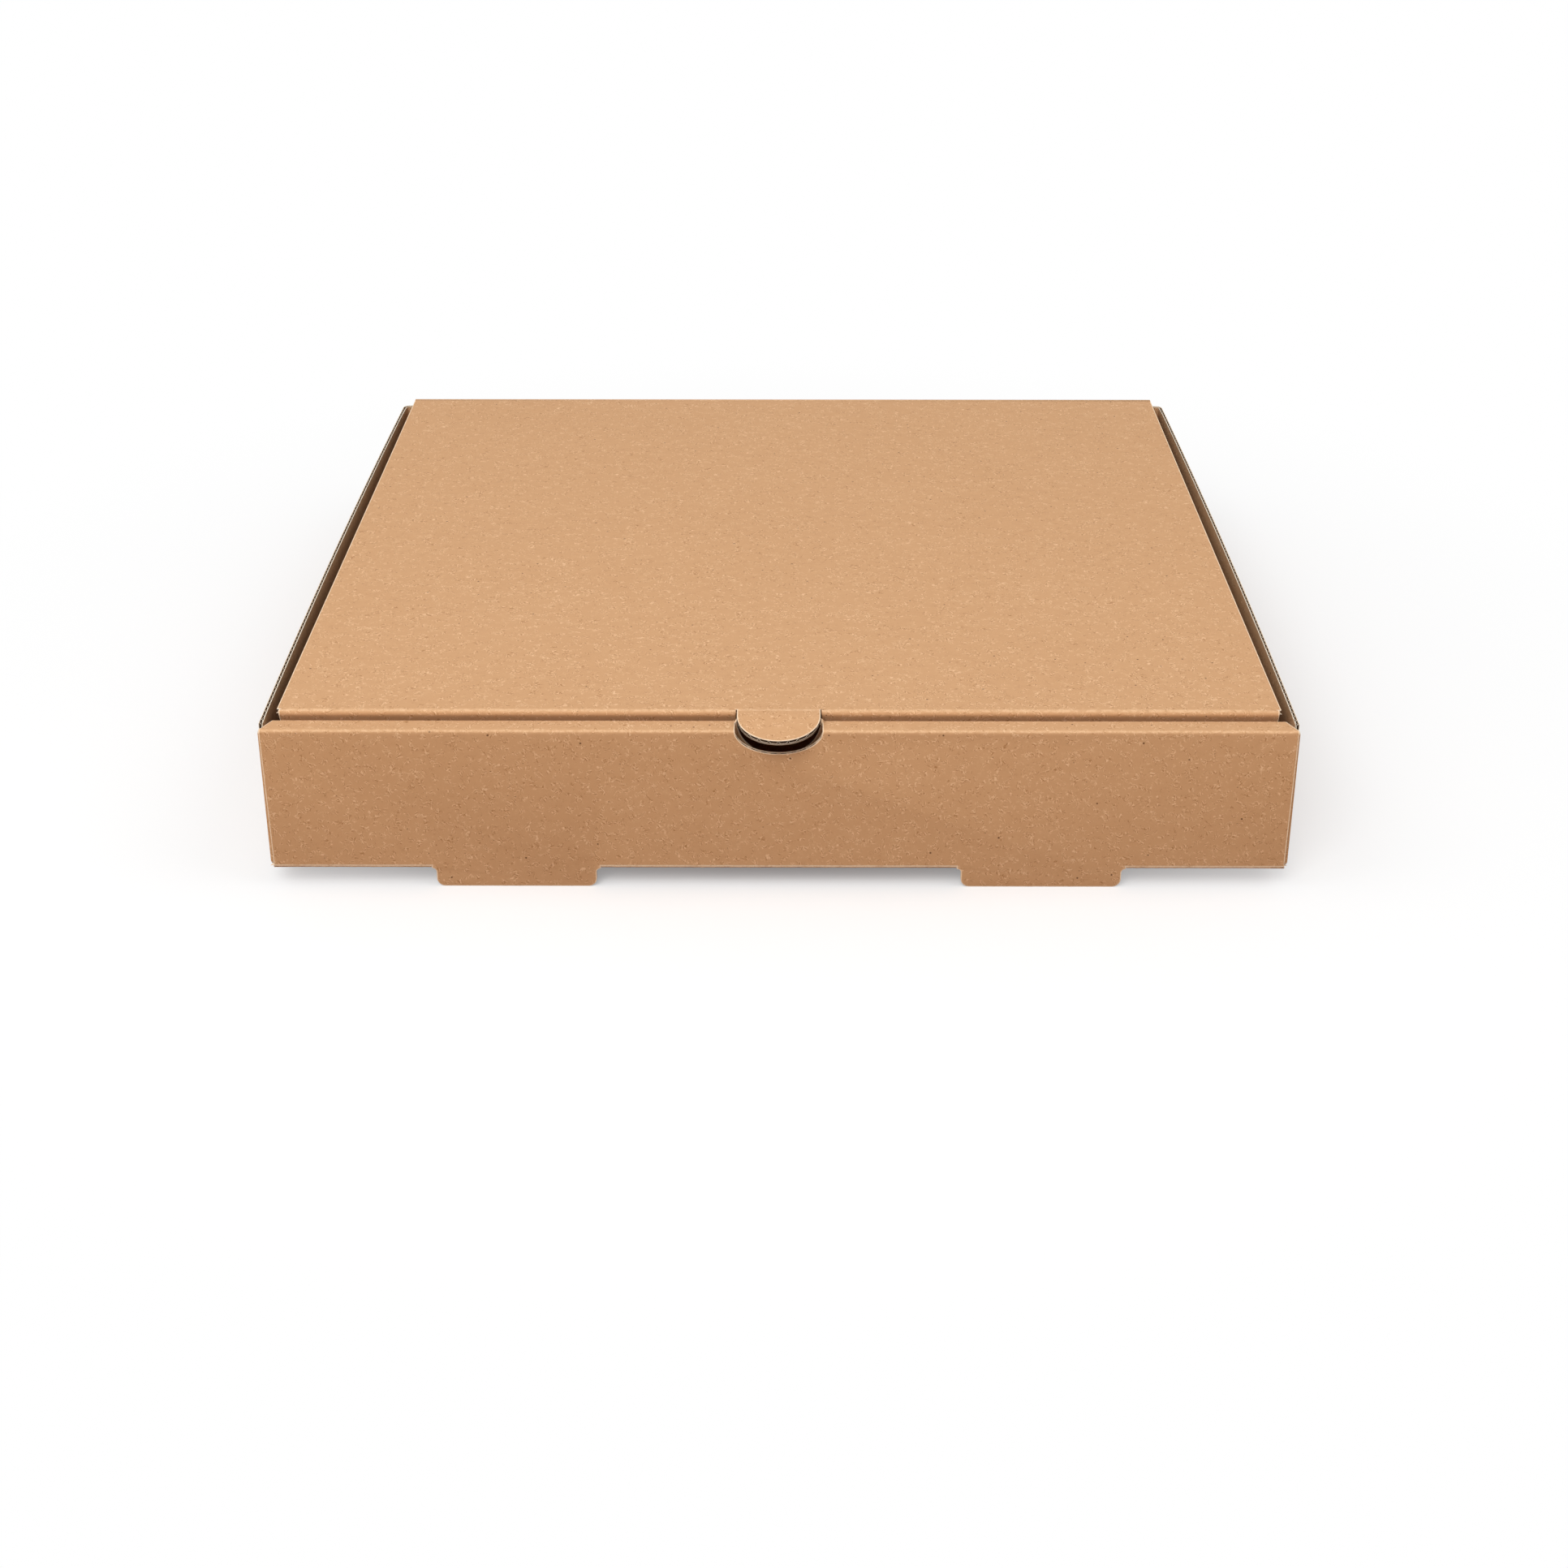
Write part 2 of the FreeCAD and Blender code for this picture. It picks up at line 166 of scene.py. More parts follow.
# Shader sums: one class wraps a socket.
class Sock:
    def __init__(self, tree, socket=None):
        self.tree = tree
        self.socket = socket

    def node(self, kind, settings=None, inputs=None, out=0):
        made = self.tree.nodes.new("ShaderNode" + kind)
        for key, value in (settings or {}).items():
            if key == "stops":
                for place, colour in value[1:-1]:
                    made.color_ramp.elements.new(place)
                for element, (place, colour) in zip(made.color_ramp.elements, value):
                    element.position = place
                    element.color = (*colour, 1)
            else:
                setattr(made, key, value)
        for key, value in (inputs or {}).items():
            if isinstance(value, Sock):
                self.tree.links.new(value.socket, made.inputs[key])
            else:
                made.inputs[key].default_value = value
        return Sock(self.tree, made.outputs[out])

    def calc(self, operation, *values):
        return self.node("Math", {"operation": operation}, dict(enumerate(values)))

    def vector(self, operation, *values, out=0):
        return self.node("VectorMath", {"operation": operation}, dict(enumerate(values)), out)

    def scaled(self, factor):
        return self.node("VectorMath", {"operation": "SCALE"}, {0: self, "Scale": factor})

    def ramp(self, low, high):
        return self.node("MapRange", {"interpolation_type": "SMOOTHSTEP"},
                         {"Value": self, "From Min": low, "From Max": high})

    def mix(self, one, other):
        # This socket is the factor between two colours.
        return self.node("Mix", {"data_type": "RGBA"}, {0: self, 6: one, 7: other}, 2)

    def noise(self, scale, detail=2.0, roughness=0.5, distortion=0.0):
        return self.node("TexNoise", {}, {"Vector": self, "Scale": scale, "Detail": detail,
                                          "Roughness": roughness, "Distortion": distortion})

    def parts(self):
        split = self.node("SeparateXYZ", {}, {0: self})
        outputs = split.socket.node.outputs
        return [Sock(self.tree, outputs[i]) for i in range(3)]

    def __add__(self, other):
        return self.calc("ADD", self, other)

    def __radd__(self, other):
        return self.calc("ADD", other, self)

    def __sub__(self, other):
        return self.calc("SUBTRACT", self, other)

    def __rsub__(self, other):
        return self.calc("SUBTRACT", other, self)

    def __mul__(self, other):
        return self.calc("MULTIPLY", self, other)

    def __rmul__(self, other):
        return self.calc("MULTIPLY", other, self)

    def __truediv__(self, other):
        return self.calc("DIVIDE", self, other)

    def __pow__(self, other):
        return self.calc("POWER", self, other)

    def __abs__(self):
        return self.calc("ABSOLUTE", self)


def newMaterial(name):
    material = bpy.data.materials.new(name)
    material.use_nodes = True
    tree = material.node_tree
    shader = tree.nodes["Principled BSDF"]
    return material, shader, Sock(tree)


def setSurface(shader, colour, rough, height):
    # Height is in millimetres.
    colour.tree.links.new(colour.socket, shader.inputs["Base Color"])
    colour.tree.links.new(rough.socket, shader.inputs["Roughness"])
    bump = height.node("Bump", {}, {"Height": height, "Distance": mm, "Strength": 1.0})
    bump.tree.links.new(bump.socket, shader.inputs["Normal"])


kraftLook = {
    "colour": (0.627, 0.352, 0.176, 1),
    "dark": (0.430, 0.208, 0.080, 1),
    "pale": (0.810, 0.515, 0.295, 1),
    "speck": (0.180, 0.085, 0.035, 1),
    "clouds": 0.14,        # broad tone changes, tens of millimetres wide
    "mottle": 0.54,        # tone changes a few millimetres wide
    "grain": 0.24,
    # Fibres: pale strokes that double as a painted highlight, with painted shade just beside each.
    "fibreAndPaintedRelief": 0.56,
    "foldWearAndHighlight": 0.75,      # how pale the paper is along a fold: partly worn paper, partly a painted highlight
    "relief": 0.020,       # height of the fibres in the paper's surface
    "washboard": 0.006,    # flutes showing through the flat paper
    "crushed": 0.050,      # and where a fold has crushed them
}


def kraftPaper(name, look, folds, tone=1.0):
    # Brown paper: broad clouds, mottling, short fibres and specks. The fibres carry a painted highlight on
    # one side and painted shade on the other, and the paper is paler along the folds, partly worn and partly
    # a painted highlight.
    # Each fold is (axis it runs along, its two other coordinates, reach), in millimetres.
    material, shader, start = newMaterial(name)
    point = start.node("TexCoord", out="Object").scaled(1 / mm)
    streaky = point.vector("MULTIPLY", point, (0.75, 1.0, 1.0))
    x, y, z = point.parts()

    clouds = streaky.noise(0.022, 3.0, 0.55) - 0.5
    mottle = streaky.noise(0.28, 4.0, 0.62) - 0.5
    grain = point.noise(2.4, 2.0, 0.6) - 0.5
    broken = point.noise(0.42, 2.0, 0.5)
    patches = broken.ramp(0.42, 0.62)
    # Each fibre is a pale stroke that doubles as a painted highlight, with a painted shade stroke just
    # beside it.
    curls = point.noise(0.42, 1.0, 0.5, 1.8) - 0.5
    fibreAndHighlight = (1 - abs(curls) * 12).ramp(0.0, 1.0) * patches
    beside = point.vector("ADD", point, (0.20, 0.24, 0.34))    # offset copy of the fibre, painted as its shaded side
    shadeSideCurls = beside.noise(0.42, 1.0, 0.5, 1.8) - 0.5
    paintedFibreShade = (1 - abs(shadeSideCurls) * 12).ramp(0.0, 1.0) * patches * 0.75
    shifted = streaky.vector("ADD", streaky, (31.0, 17.0, 53.0))
    spot = point.node("TexVoronoi", {"feature": "F1"}, {"Vector": point, "Scale": 0.12})
    specks = spot.ramp(0.055, 0.030)
    finer = point.node("TexVoronoi", {"feature": "F1"}, {"Vector": shifted, "Scale": 0.21})
    fineSpecks = finer.ramp(0.050, 0.030) * 0.6

    foldWearAndHighlightMask = None
    for axis, a, b, reach in folds:
        across = {"X": (y, z), "Y": (x, z), "Z": (x, y)}[axis]
        sides = (across[0] - a if axis == "X" else abs(across[0]) - a, across[1] - b)
        away = (sides[0] * sides[0] + sides[1] * sides[1]) ** 0.5
        mask = away.ramp(reach, reach * 0.25)
        if axis == "X" and b < wallFoot:    # no fold where a foot goes on below it
            halfFoot = tray["footWidth"] / 2
            mask = mask * abs(abs(x) - tray["footSpacing"] / 2).ramp(halfFoot, halfFoot + 1)
        foldWearAndHighlightMask = mask if foldWearAndHighlightMask is None else foldWearAndHighlightMask.calc("MAXIMUM", foldWearAndHighlightMask, mask)
    wave = x.calc("SINE", x * (2 * math.pi / board["flutePitch"]))
    uneven = point.noise(0.50, 3.0, 0.65).ramp(0.38, 0.62)

    tint = (clouds * look["clouds"] + mottle * look["mottle"] + grain * look["grain"]
            + fibreAndHighlight * look["fibreAndPaintedRelief"] - paintedFibreShade * look["fibreAndPaintedRelief"])
    paler = tint.ramp(0.0, 0.5)
    darker = (0 - tint).ramp(0.0, 0.5)
    base = tuple(c * tone for c in look["colour"][:3]) + (1,)
    pale = tuple(c * tone for c in look["pale"][:3]) + (1,)
    dark = tuple(c * tone for c in look["dark"][:3]) + (1,)
    colour = paler.mix(base, pale)
    colour = darker.mix(colour, dark)
    colour = specks.calc("MAXIMUM", specks, fineSpecks).mix(colour, look["speck"])
    height = (fibreAndHighlight - paintedFibreShade + mottle) * look["relief"] + wave * look["washboard"]
    # Painted highlight and wear along the folds: the paper turns pale there.
    if foldWearAndHighlightMask is not None:
        wornAndHighlight = foldWearAndHighlightMask * (uneven * 0.75 + 0.25) * look["foldWearAndHighlight"]
        colour = wornAndHighlight.mix(colour, pale)
        height = height + foldWearAndHighlightMask * wave * look["crushed"]
    rough = mottle * 0.25 + 0.80
    setSurface(shader, colour, rough, height)
    shader.inputs["Specular IOR Level"].default_value = 0.30
    return material


edgeLook = {
    # Pale band along cuts: torn fibre, and a painted highlight of the edge.
    "band": (0.930, 0.720, 0.510, 1),
    "bandDark": (0.700, 0.440, 0.250, 1),
    "rim": (0.950, 0.850, 0.700, 1),
    "rimDark": (0.640, 0.460, 0.300, 1),
    # The core's near-black tones are painted shade inside the open flutes; the paper itself is brown.
    "core": (0.060, 0.032, 0.016, 1),
    "coreDeeperShade": (0.030, 0.015, 0.008, 1),
    "relief": 0.03,
}


def cutPaper(name, one, other, scale):
    # Torn fibres along a cut, or the core between the papers, which is painted near-black as the shade
    # inside its open flutes: two tones, finely mixed.
    material, shader, start = newMaterial(name)
    point = start.node("TexCoord", out="Object").scaled(1 / mm)
    torn = point.noise(scale, 3.0, 0.7)
    nicked = point.noise(scale * 0.2, 2.0, 0.6)
    colour = (torn.ramp(0.40, 0.75) * 0.6 + nicked.ramp(0.52, 0.70) * 0.5).mix(one, other)
    setSurface(shader, colour, torn * 0.2 + 0.75, torn * edgeLook["relief"])
    shader.inputs["Specular IOR Level"].default_value = 0.25
    return material


arc = tray["fold"] * (1 - math.sqrt(0.5))
front, low = frontY / mm, tray["footHeight"]
# Folds painted paler: worn paper, and a painted highlight along each fold line.
trayFolds = [
    ("X", front + 0.30, wallTop - 0.20, 0.80),
    ("X", front + tray["stripDepth"] - 0.35, wallTop - 0.05, 0.6),
    ("X", front, low + tray["fold"] * 0.75, 0.8),
    ("X", front + trayDepth - arc, low + arc, 1.3),
    ("Y", halfTray - arc, low + arc, 1.3),
    ("Z", halfTray - tray["rearFold"] * 0.3, front + earBack - tray["rearFold"] * 0.3, 1.8),
]
lidFolds = [
    ("X", front + lid["front"] + lid["fold"] * 1.1, lidTop - 0.05, 1.1),
]
kraftTray = kraftPaper("kraftTray", kraftLook, trayFolds)
kraftInside = kraftPaper("kraftInside", kraftLook, trayFolds, 1.16)
kraftLid = kraftPaper("kraftLid", kraftLook, lidFolds)
kraftCrease = kraftPaper("kraftCrease", kraftLook,
                         [("X", hinge.y / mm + 0.3, hinge.z / mm + 0.3, 1.2)])
cutBandAndHighlight = cutPaper("cutBandAndHighlight", edgeLook["band"], edgeLook["bandDark"], 1.6)
cutRim = cutPaper("cutRim", edgeLook["rim"], edgeLook["rimDark"], 3.0)
flutedCorePaintedShade = cutPaper("flutedCorePaintedShade", edgeLook["core"], edgeLook["coreDeeperShade"], 0.9)
print("materials made")


# Sheets: a folded wire is drawn out, trimmed and carved, and gets its papers.
def foldWire(bm, corners, radii, rows=None, support=board["foldSupport"]):
    # Wire through the corners, rounded at each fold, with a row kept close to it.
    reach = []
    for i, radius in enumerate(radii):
        turn = (corners[i + 1] - corners[i]).angle(corners[i + 2] - corners[i + 1])
        reach.append(radius * mm * math.tan(turn / 2))
    chain, foldVerts = [corners[0]], []
    last = len(corners) - 1
    support *= mm
    for i in range(last):
        along = (corners[i + 1] - corners[i]).normalized()
        if i > 0:
            chain.append(corners[i] + along * (reach[i - 1] + support))
        chain += (rows or {}).get(i, [])
        if i + 1 < last:
            if (corners[i + 1] - corners[i]).length > reach[i] + support:
                chain.append(corners[i + 1] - along * (reach[i] + support))
            foldVerts.append(len(chain))
        chain.append(corners[i + 1])
    verts = [bm.verts.new(p) for p in chain]
    for one, other in zip(verts, verts[1:]):
        bm.edges.new((one, other))
    for index, offset in zip(foldVerts, reach):
        bmesh.ops.bevel(bm, geom=[verts[index]], offset=offset, offset_type="OFFSET",
                        segments=board["foldSteps"], profile=0.5, affect="VERTICES", material=-1)


def drawOut(bm, vector, steps):
    bmesh.ops.spin(bm, geom=bm.verts[:] + bm.edges[:], cent=(0, 0, 0), axis=(1, 0, 0),
                   dvec=vector / steps, angle=0, steps=steps, use_duplicate=False)


def trim(bm, inZone, point, normal):
    # Cuts off what lies past a plane, among the faces whose middle is in the zone.
    zone = [f for f in bm.faces if inZone(*local(f.calc_center_median()))]
    geom = set(zone)
    for face in zone:
        geom.update(face.edges)
        geom.update(face.verts)
    bmesh.ops.bisect_plane(bm, geom=list(geom), plane_co=point, plane_no=normal)
    gone = []
    for face in bm.faces:
        middle = face.calc_center_median()
        if inZone(*local(middle)) and (middle - point).dot(normal) > 0:
            gone.append(face)
    bmesh.ops.delete(bm, geom=gone, context="FACES")


def trimBoth(bm, inZone, point, normal):
    # The same cut on the right and on the left.
    trim(bm, lambda x, y, z: x > 0 and inZone(y, z), point, normal)
    flipped = Vector((-1, 1, 1))
    trim(bm, lambda x, y, z: x < 0 and inZone(y, z), point * flipped, normal * flipped)


def mirrorAcross(bm):
    bmesh.ops.mirror(bm, geom=bm.verts[:] + bm.edges[:] + bm.faces[:],
                     matrix=Matrix.Identity(4), merge_dist=0.0001 * mm, axis="X")


def append(bm, other):
    mesh = bpy.data.meshes.new("passing")
    other.to_mesh(mesh)
    bm.from_mesh(mesh)
    bpy.data.meshes.remove(mesh)
    other.free()


def rounded(corners):
    # Outline through (a, b, radius) corners, all of them square.
    outline = []
    steps = board["foldSteps"]
    for i, (a, b, radius) in enumerate(corners):
        here = Vector((a, b))
        if not radius:
            outline.append(here)
            continue
        before = (Vector(corners[i - 1][:2]) - here).normalized() * radius
        after = (Vector(corners[(i + 1) % len(corners)][:2]) - here).normalized() * radius
        for step in range(steps + 1):
            angle = math.pi / 2 * step / steps
            outline.append(here + before + after - after * math.cos(angle) - before * math.sin(angle))
    return outline


def ellipse(centre, half, depth, start, stop, count):
    angles = [start + (stop - start) * i / count for i in range(count + 1)]
    return [Vector((centre[0] + half * math.cos(a), centre[1] + depth * math.sin(a))) for a in angles]


def isInside(outline, a, b):
    inside = False
    for one, other in zip(outline, outline[1:] + outline[:1]):
        if (one.y > b) != (other.y > b):
            if a < one.x + (other.x - one.x) * (b - one.y) / (other.y - one.y):
                inside = not inside
    return inside


def cutOut(bm, inZone, outline, axes, keep=False):
    # Cuts the sheet along the outline, seen along the third axis, and takes the inside away.
    u, v = ["XYZ".index(axis) for axis in axes]

    def zoneFaces():
        return [f for f in bm.faces if inZone(*local(f.calc_center_median()))]

    for one, other in zip(outline, outline[1:] + outline[:1]):
        low = (min(one.x, other.x) - 0.05, min(one.y, other.y) - 0.05)
        high = (max(one.x, other.x) + 0.05, max(one.y, other.y) + 0.05)
        geom = set()
        for face in zoneFaces():
            corners = [local(vert.co) for vert in face.verts]
            across = [corner[u] for corner in corners]
            along = [corner[v] for corner in corners]
            if max(across) < low[0] or min(across) > high[0]:
                continue
            if max(along) < low[1] or min(along) > high[1]:
                continue
            geom.add(face)
            geom.update(face.edges)
            geom.update(face.verts)
        spot, way = [0.0, 0.0, 0.0], [0.0, 0.0, 0.0]
        spot[u], spot[v] = one
        way[u], way[v] = other.y - one.y, one.x - other.x
        bmesh.ops.bisect_plane(bm, geom=list(geom), dist=0.01 * mm, plane_co=at(*spot),
                               plane_no=Vector(way).normalized())
    gone = []
    for face in zoneFaces():
        middle = local(face.calc_center_median())
        if isInside(outline, middle[u], middle[v]) != keep:
            gone.append(face)
    bmesh.ops.delete(bm, geom=gone, context="FACES")


def mergeFlat(bm, isFlat):
    # Flat panels need no rows: their faces become one.
    flat = {f for f in bm.faces if isFlat(*local(f.calc_center_median()))}
    edges = [e for e in bm.edges if len(e.link_faces) == 2 and all(f in flat for f in e.link_faces)]
    verts = [v for v in bm.verts if v.link_faces and all(f in flat for f in v.link_faces)]
    bmesh.ops.dissolve_limit(bm, angle_limit=math.radians(0.1), use_dissolve_boundaries=False,
                             verts=verts, edges=edges, delimit=set())


def weld(bm, facing, direction):
    # Joins the sheets, and turns every face out, as the one nearest a known point shows.
    bmesh.ops.remove_doubles(bm, verts=bm.verts, dist=0.004 * mm)
    bmesh.ops.recalc_face_normals(bm, faces=bm.faces)
    sample = min(bm.faces, key=lambda f: (f.calc_center_median() - facing).length)
    if sample.normal.dot(direction) < 0:
        bmesh.ops.reverse_faces(bm, faces=bm.faces)
    bm.normal_update()


def clearEdges(bm):
    # Points that would lie inside the band along a cut go first.
    reach = board["cutBandAndHighlight"] * 1.2 * mm
    crowding = []
    for vert in bm.verts:
        if vert.is_boundary:
            continue
        for edge in {e for f in vert.link_faces for e in f.edges if e.is_boundary}:
            one, other = (v.co for v in edge.verts)
            nearest, share = geometry.intersect_point_line(vert.co, one, other)
            nearest = one if share < 0 else other if share > 1 else nearest
            if (vert.co - nearest).length < reach:
                crowding.append(vert)
                break
    bmesh.ops.dissolve_verts(bm, verts=crowding, use_face_split=False, use_boundary_tear=False)


def markCuts(bm, isJoint, isPlain=lambda x, y, z: False):
    # Every cut edge gets a narrow band, pressed down a little by the knife; its pale colour is partly torn
    # fibre and partly a painted highlight.
    clearEdges(bm)
    ring = bmesh.ops.inset_region(bm, faces=bm.faces[:], thickness=board["cutBandAndHighlight"] * mm,
                                  use_boundary=True, use_even_offset=True)["faces"]
    for face in ring:
        spot = local(face.calc_center_median())
        face.material_index = 0 if isJoint(*spot) or isPlain(*spot) else 1
    bm.normal_update()
    pressed = [v for v in bm.verts if v.is_boundary and not isJoint(*local(v.co))]
    for vert in pressed:
        vert.co -= vert.normal * board["cutSink"] * mm


def settleFaces(bm, isFlat=lambda x, y, z: False):
    # Flat panels stay flat to the light, and large faces are split while the sheet is whole.
    for face in bm.faces:
        face.smooth = face.material_index == 0 and not isFlat(*local(face.calc_center_median()))
    large = [f for f in bm.faces if len(f.verts) > 8]
    bmesh.ops.triangulate(bm, faces=large, quad_method="BEAUTY", ngon_method="EAR_CLIP")


def makePiece(name, bm, materials, body, node=None):
    mesh = bpy.data.meshes.new(name)
    bm.to_mesh(mesh)
    piece = bpy.data.objects.new(name, mesh)
    bpy.context.scene.collection.objects.link(piece)
    for material in materials:
        mesh.materials.append(material)
    if body:
        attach(piece, body)
    if node:
        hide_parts(node)
    return piece


def addPaper(piece, amount, side):
    paper = piece.modifiers.new("Paper", "SOLIDIFY")
    paper.thickness = amount * mm
    paper.offset = side
    paper.material_offset_rim = 1


def makeLiners(bm, names, papers, body, node, pinchAt, isFlat):
    # The outer paper lies on the sheet, and the inner one at the far side of the board.
    ways = []
    for vert in bm.verts:
        around = Vector()
        for edge in vert.link_edges:
            around += edge.other_vert(vert).normal
        astray = vert.normal.dot(around.normalized()) < 0.6
        ways.append(around.normalized() if astray else vert.normal.copy())
    settleFaces(bm, isFlat)
    outer = makePiece(names[0], bm, [papers[0], cutBandAndHighlight, cutRim], body, node)
    addPaper(outer, board["liner"], -1)
    for vert, way in zip(bm.verts, ways):
        vert.co -= way * (thickness - board["liner"] - pinchAt(vert.co)) * mm
    inner = makePiece(names[1], bm, [papers[1], cutBandAndHighlight, cutRim], body)
    addPaper(inner, board["liner"], -1)
    bm.free()


def waveColumns(bm, isFold, half, step, amount):
    # Crushed flutes leave a fold wavy, each one a little different.
    bm.normal_update()
    moves = []
    for vert in bm.verts:
        x, y, z = local(vert.co)
        if isFold(y, z):
            wave = math.cos(math.pi * (x + half) / step)
            drift = noise.noise(Vector((x * 0.21, y * 0.05, z * 0.05)))
            depth = min(0.0, wave * (0.5 + drift) + drift - 0.5)
            moves.append((vert, vert.normal * depth * amount * mm))
    for vert, move in moves:
        vert.co += move


# Flutes: a wave that leans on the inner paper and touches the outer one at its peaks.
def coreDepth(along, pinch=0.0):
    room = thickness - 2 * board["liner"] - board["core"] - pinch
    peak = (0.5 + 0.5 * math.cos(2 * math.pi * along / board["flutePitch"])) ** board["peakSharpness"]
    return board["liner"] + board["core"] / 2 + room * (1 - peak)


def addRibbon(bm, stations, length, pinchAt=None, depthAt=coreDepth):
    # A station is a point on the outer face at the cut, the outward normal, the way into
    # the board, and the place along the edge.
    verts = []
    ways = []
    for point, normal, inward, along in stations:
        depth = depthAt(along, pinchAt(point) if pinchAt else 0.0)
        start = point - normal * depth * mm + inward * board["core"] * 1.5 * mm
        verts.append(bm.verts.new(start))
        ways.append((inward * length - normal * (depthAt(along, 0.0) - depth)) * mm)
    edges = [bm.edges.new(pair) for pair in zip(verts, verts[1:])]
    made = bmesh.ops.extrude_edge_only(bm, edges=edges)["geom"]
    lower = [g for g in made if isinstance(g, bmesh.types.BMVert)]
    starts = {tuple(v.co): way for v, way in zip(verts, ways)}
    for vert in lower:
        vert.co += starts[tuple(vert.co)]


fluteSteps = 8
fluteStep = board["flutePitch"] / fluteSteps


def acrossStations(half, rim, normal, inward, place):
    # Stations from -half to half along X, where rim(x) is the edge.
    count = int(2 * half / fluteStep)
    xs = [-half + 2 * half * i / count for i in range(count + 1)]
    return [(place(x, rim(x)), normal, inward, x) for x in xs]


def wireStations(points, ups, topOf):
    # Stations along a wire seen from above, with the board on its left.
    stations = []
    travelled = 0.0
    for one, other in zip(points, points[1:]):
        run = other - one
        count = max(1, round(run.length / mm / fluteStep))
        outward = Vector((run.y, -run.x, 0)).normalized()
        for i in range(count):
            spot = one + run * (i / count)
            spot.z = topOf(spot) * mm
            stations.append((spot, outward, ups, travelled + run.length / mm * i / count))
        travelled += run.length / mm
    return stations


def notchRim(x):
    return wallTop - tray["notchDepth"] * math.sqrt(max(0.0, 1 - (x / tray["notchHalf"]) ** 2))


def innerRim(x):
    # Flat in the middle, with a rounded corner at either end.
    turn = tray["innerTurn"]
    past = max(0.0, abs(x) - tray["notchHalf"] + turn)
    return wallTop - tray["innerNotch"] + turn - math.sqrt(max(0.0, turn ** 2 - past ** 2))


# Tray
def traySpine():
    # From the lock tabs over the roll-over strip and down to the feet.
    strip, fold = tray["stripDepth"], tray["stripFold"]
    lowest, wide = tray["footHeight"], halfFront
    sheet = bmesh.new()
    foldWire(sheet, [at(-halfTray, strip, lowest - 3), at(-halfTray, strip, wallTop),
                     at(-halfTray, 0, wallTop), at(-halfTray, 0, -3)], [tray["stripInnerFold"], fold])
    drawOut(sheet, Vector((2 * halfTray * mm, 0, 0)), trayColumns)
    trimBoth(sheet, lambda y, z: True, at(wide, 0, 0), Vector((1, 0, 0)))

    # Slanted ends of the strip, straight ends of the inner wall, slightly narrower front wall.
    slant = tray["stripSlant"]
    slantWay = Vector((strip - tray["slantStart"], slant, 0)).normalized()
    trimBoth(sheet, lambda y, z: y > 0 and z > wallTop - fold,
             at(wide, tray["slantStart"], wallTop), slantWay)
    trimBoth(sheet, lambda y, z: y > strip - 0.01 and z < wallTop - fold,
             at(wide - slant, strip, 0), Vector((1, 0, 0)))
    taperWay = Vector((wallTop - fold - wallFoot, 0, -tray["wallTaper"])).normalized()
    trimBoth(sheet, lambda y, z: y < 0.01 and z < wallTop - fold,
             at(wide, 0, wallTop - fold), taperWay)

    # Notch for the thumb: half round through the wall and the strip, squarer in the inner wall.
    half, out = tray["notchHalf"], halfTray + 9
    outline = ellipse((0, wallTop), half, tray["notchDepth"], math.pi, 2 * math.pi, 40)
    outline += [Vector((half, wallTop + 9)), Vector((-half, wallTop + 9))]
    cutOut(sheet, lambda x, y, z: abs(x) < half + 3 and z > 10 and y < strip - 0.05, outline, "XZ")
    deep, turn = wallTop - tray["innerNotch"], tray["innerTurn"]
    outline = rounded([(-half, wallTop + 9, 0), (-half, deep, turn),
                       (half, deep, turn), (half, wallTop + 9, 0)])
    cutOut(sheet, lambda x, y, z: abs(x) < half + 3 and z > 10 and y > strip - 0.05, outline, "XZ")
    # Lock tabs: the inner wall ends above the bottom but for them.
    middle, halfFoot = tray["footSpacing"] / 2, tray["footWidth"] / 2
    halfTab = halfFoot - tray["lockTabInset"]
    outline = [(-out, wallFoot, 0), (-out, -9, 0), (out, -9, 0), (out, wallFoot, 0)]
    for foot in (middle, -middle):
        outline += [(foot + halfTab, wallFoot, 0), (foot + halfTab, lowest, 0),
                    (foot - halfTab, lowest, 0), (foot - halfTab, wallFoot, 0)]
    cutOut(sheet, lambda x, y, z: y > strip - 0.1 and z < 50, rounded(outline), "XZ")
    # Feet: the front wall goes on below the fold there, with rounded corners.
    root = halfFoot + tray["footFillet"]
    fillet, corner = tray["footFillet"], tray["footCorner"]
    outline = [(-out, wallFoot, 0), (-out, -9, 0), (out, -9, 0), (out, wallFoot, 0)]
    for foot in (middle, -middle):
        outline += [(foot + root, wallFoot, 0), (foot + root, lowest, 0),
                    (foot + halfFoot, lowest, fillet), (foot + halfFoot, 0, corner),
                    (foot - halfFoot, 0, corner), (foot - halfFoot, lowest, fillet),
                    (foot - root, lowest, 0), (foot - root, wallFoot, 0)]
    cutOut(sheet, lambda x, y, z: y < 0.1 and z < 50, rounded(outline), "XZ")
    return sheet


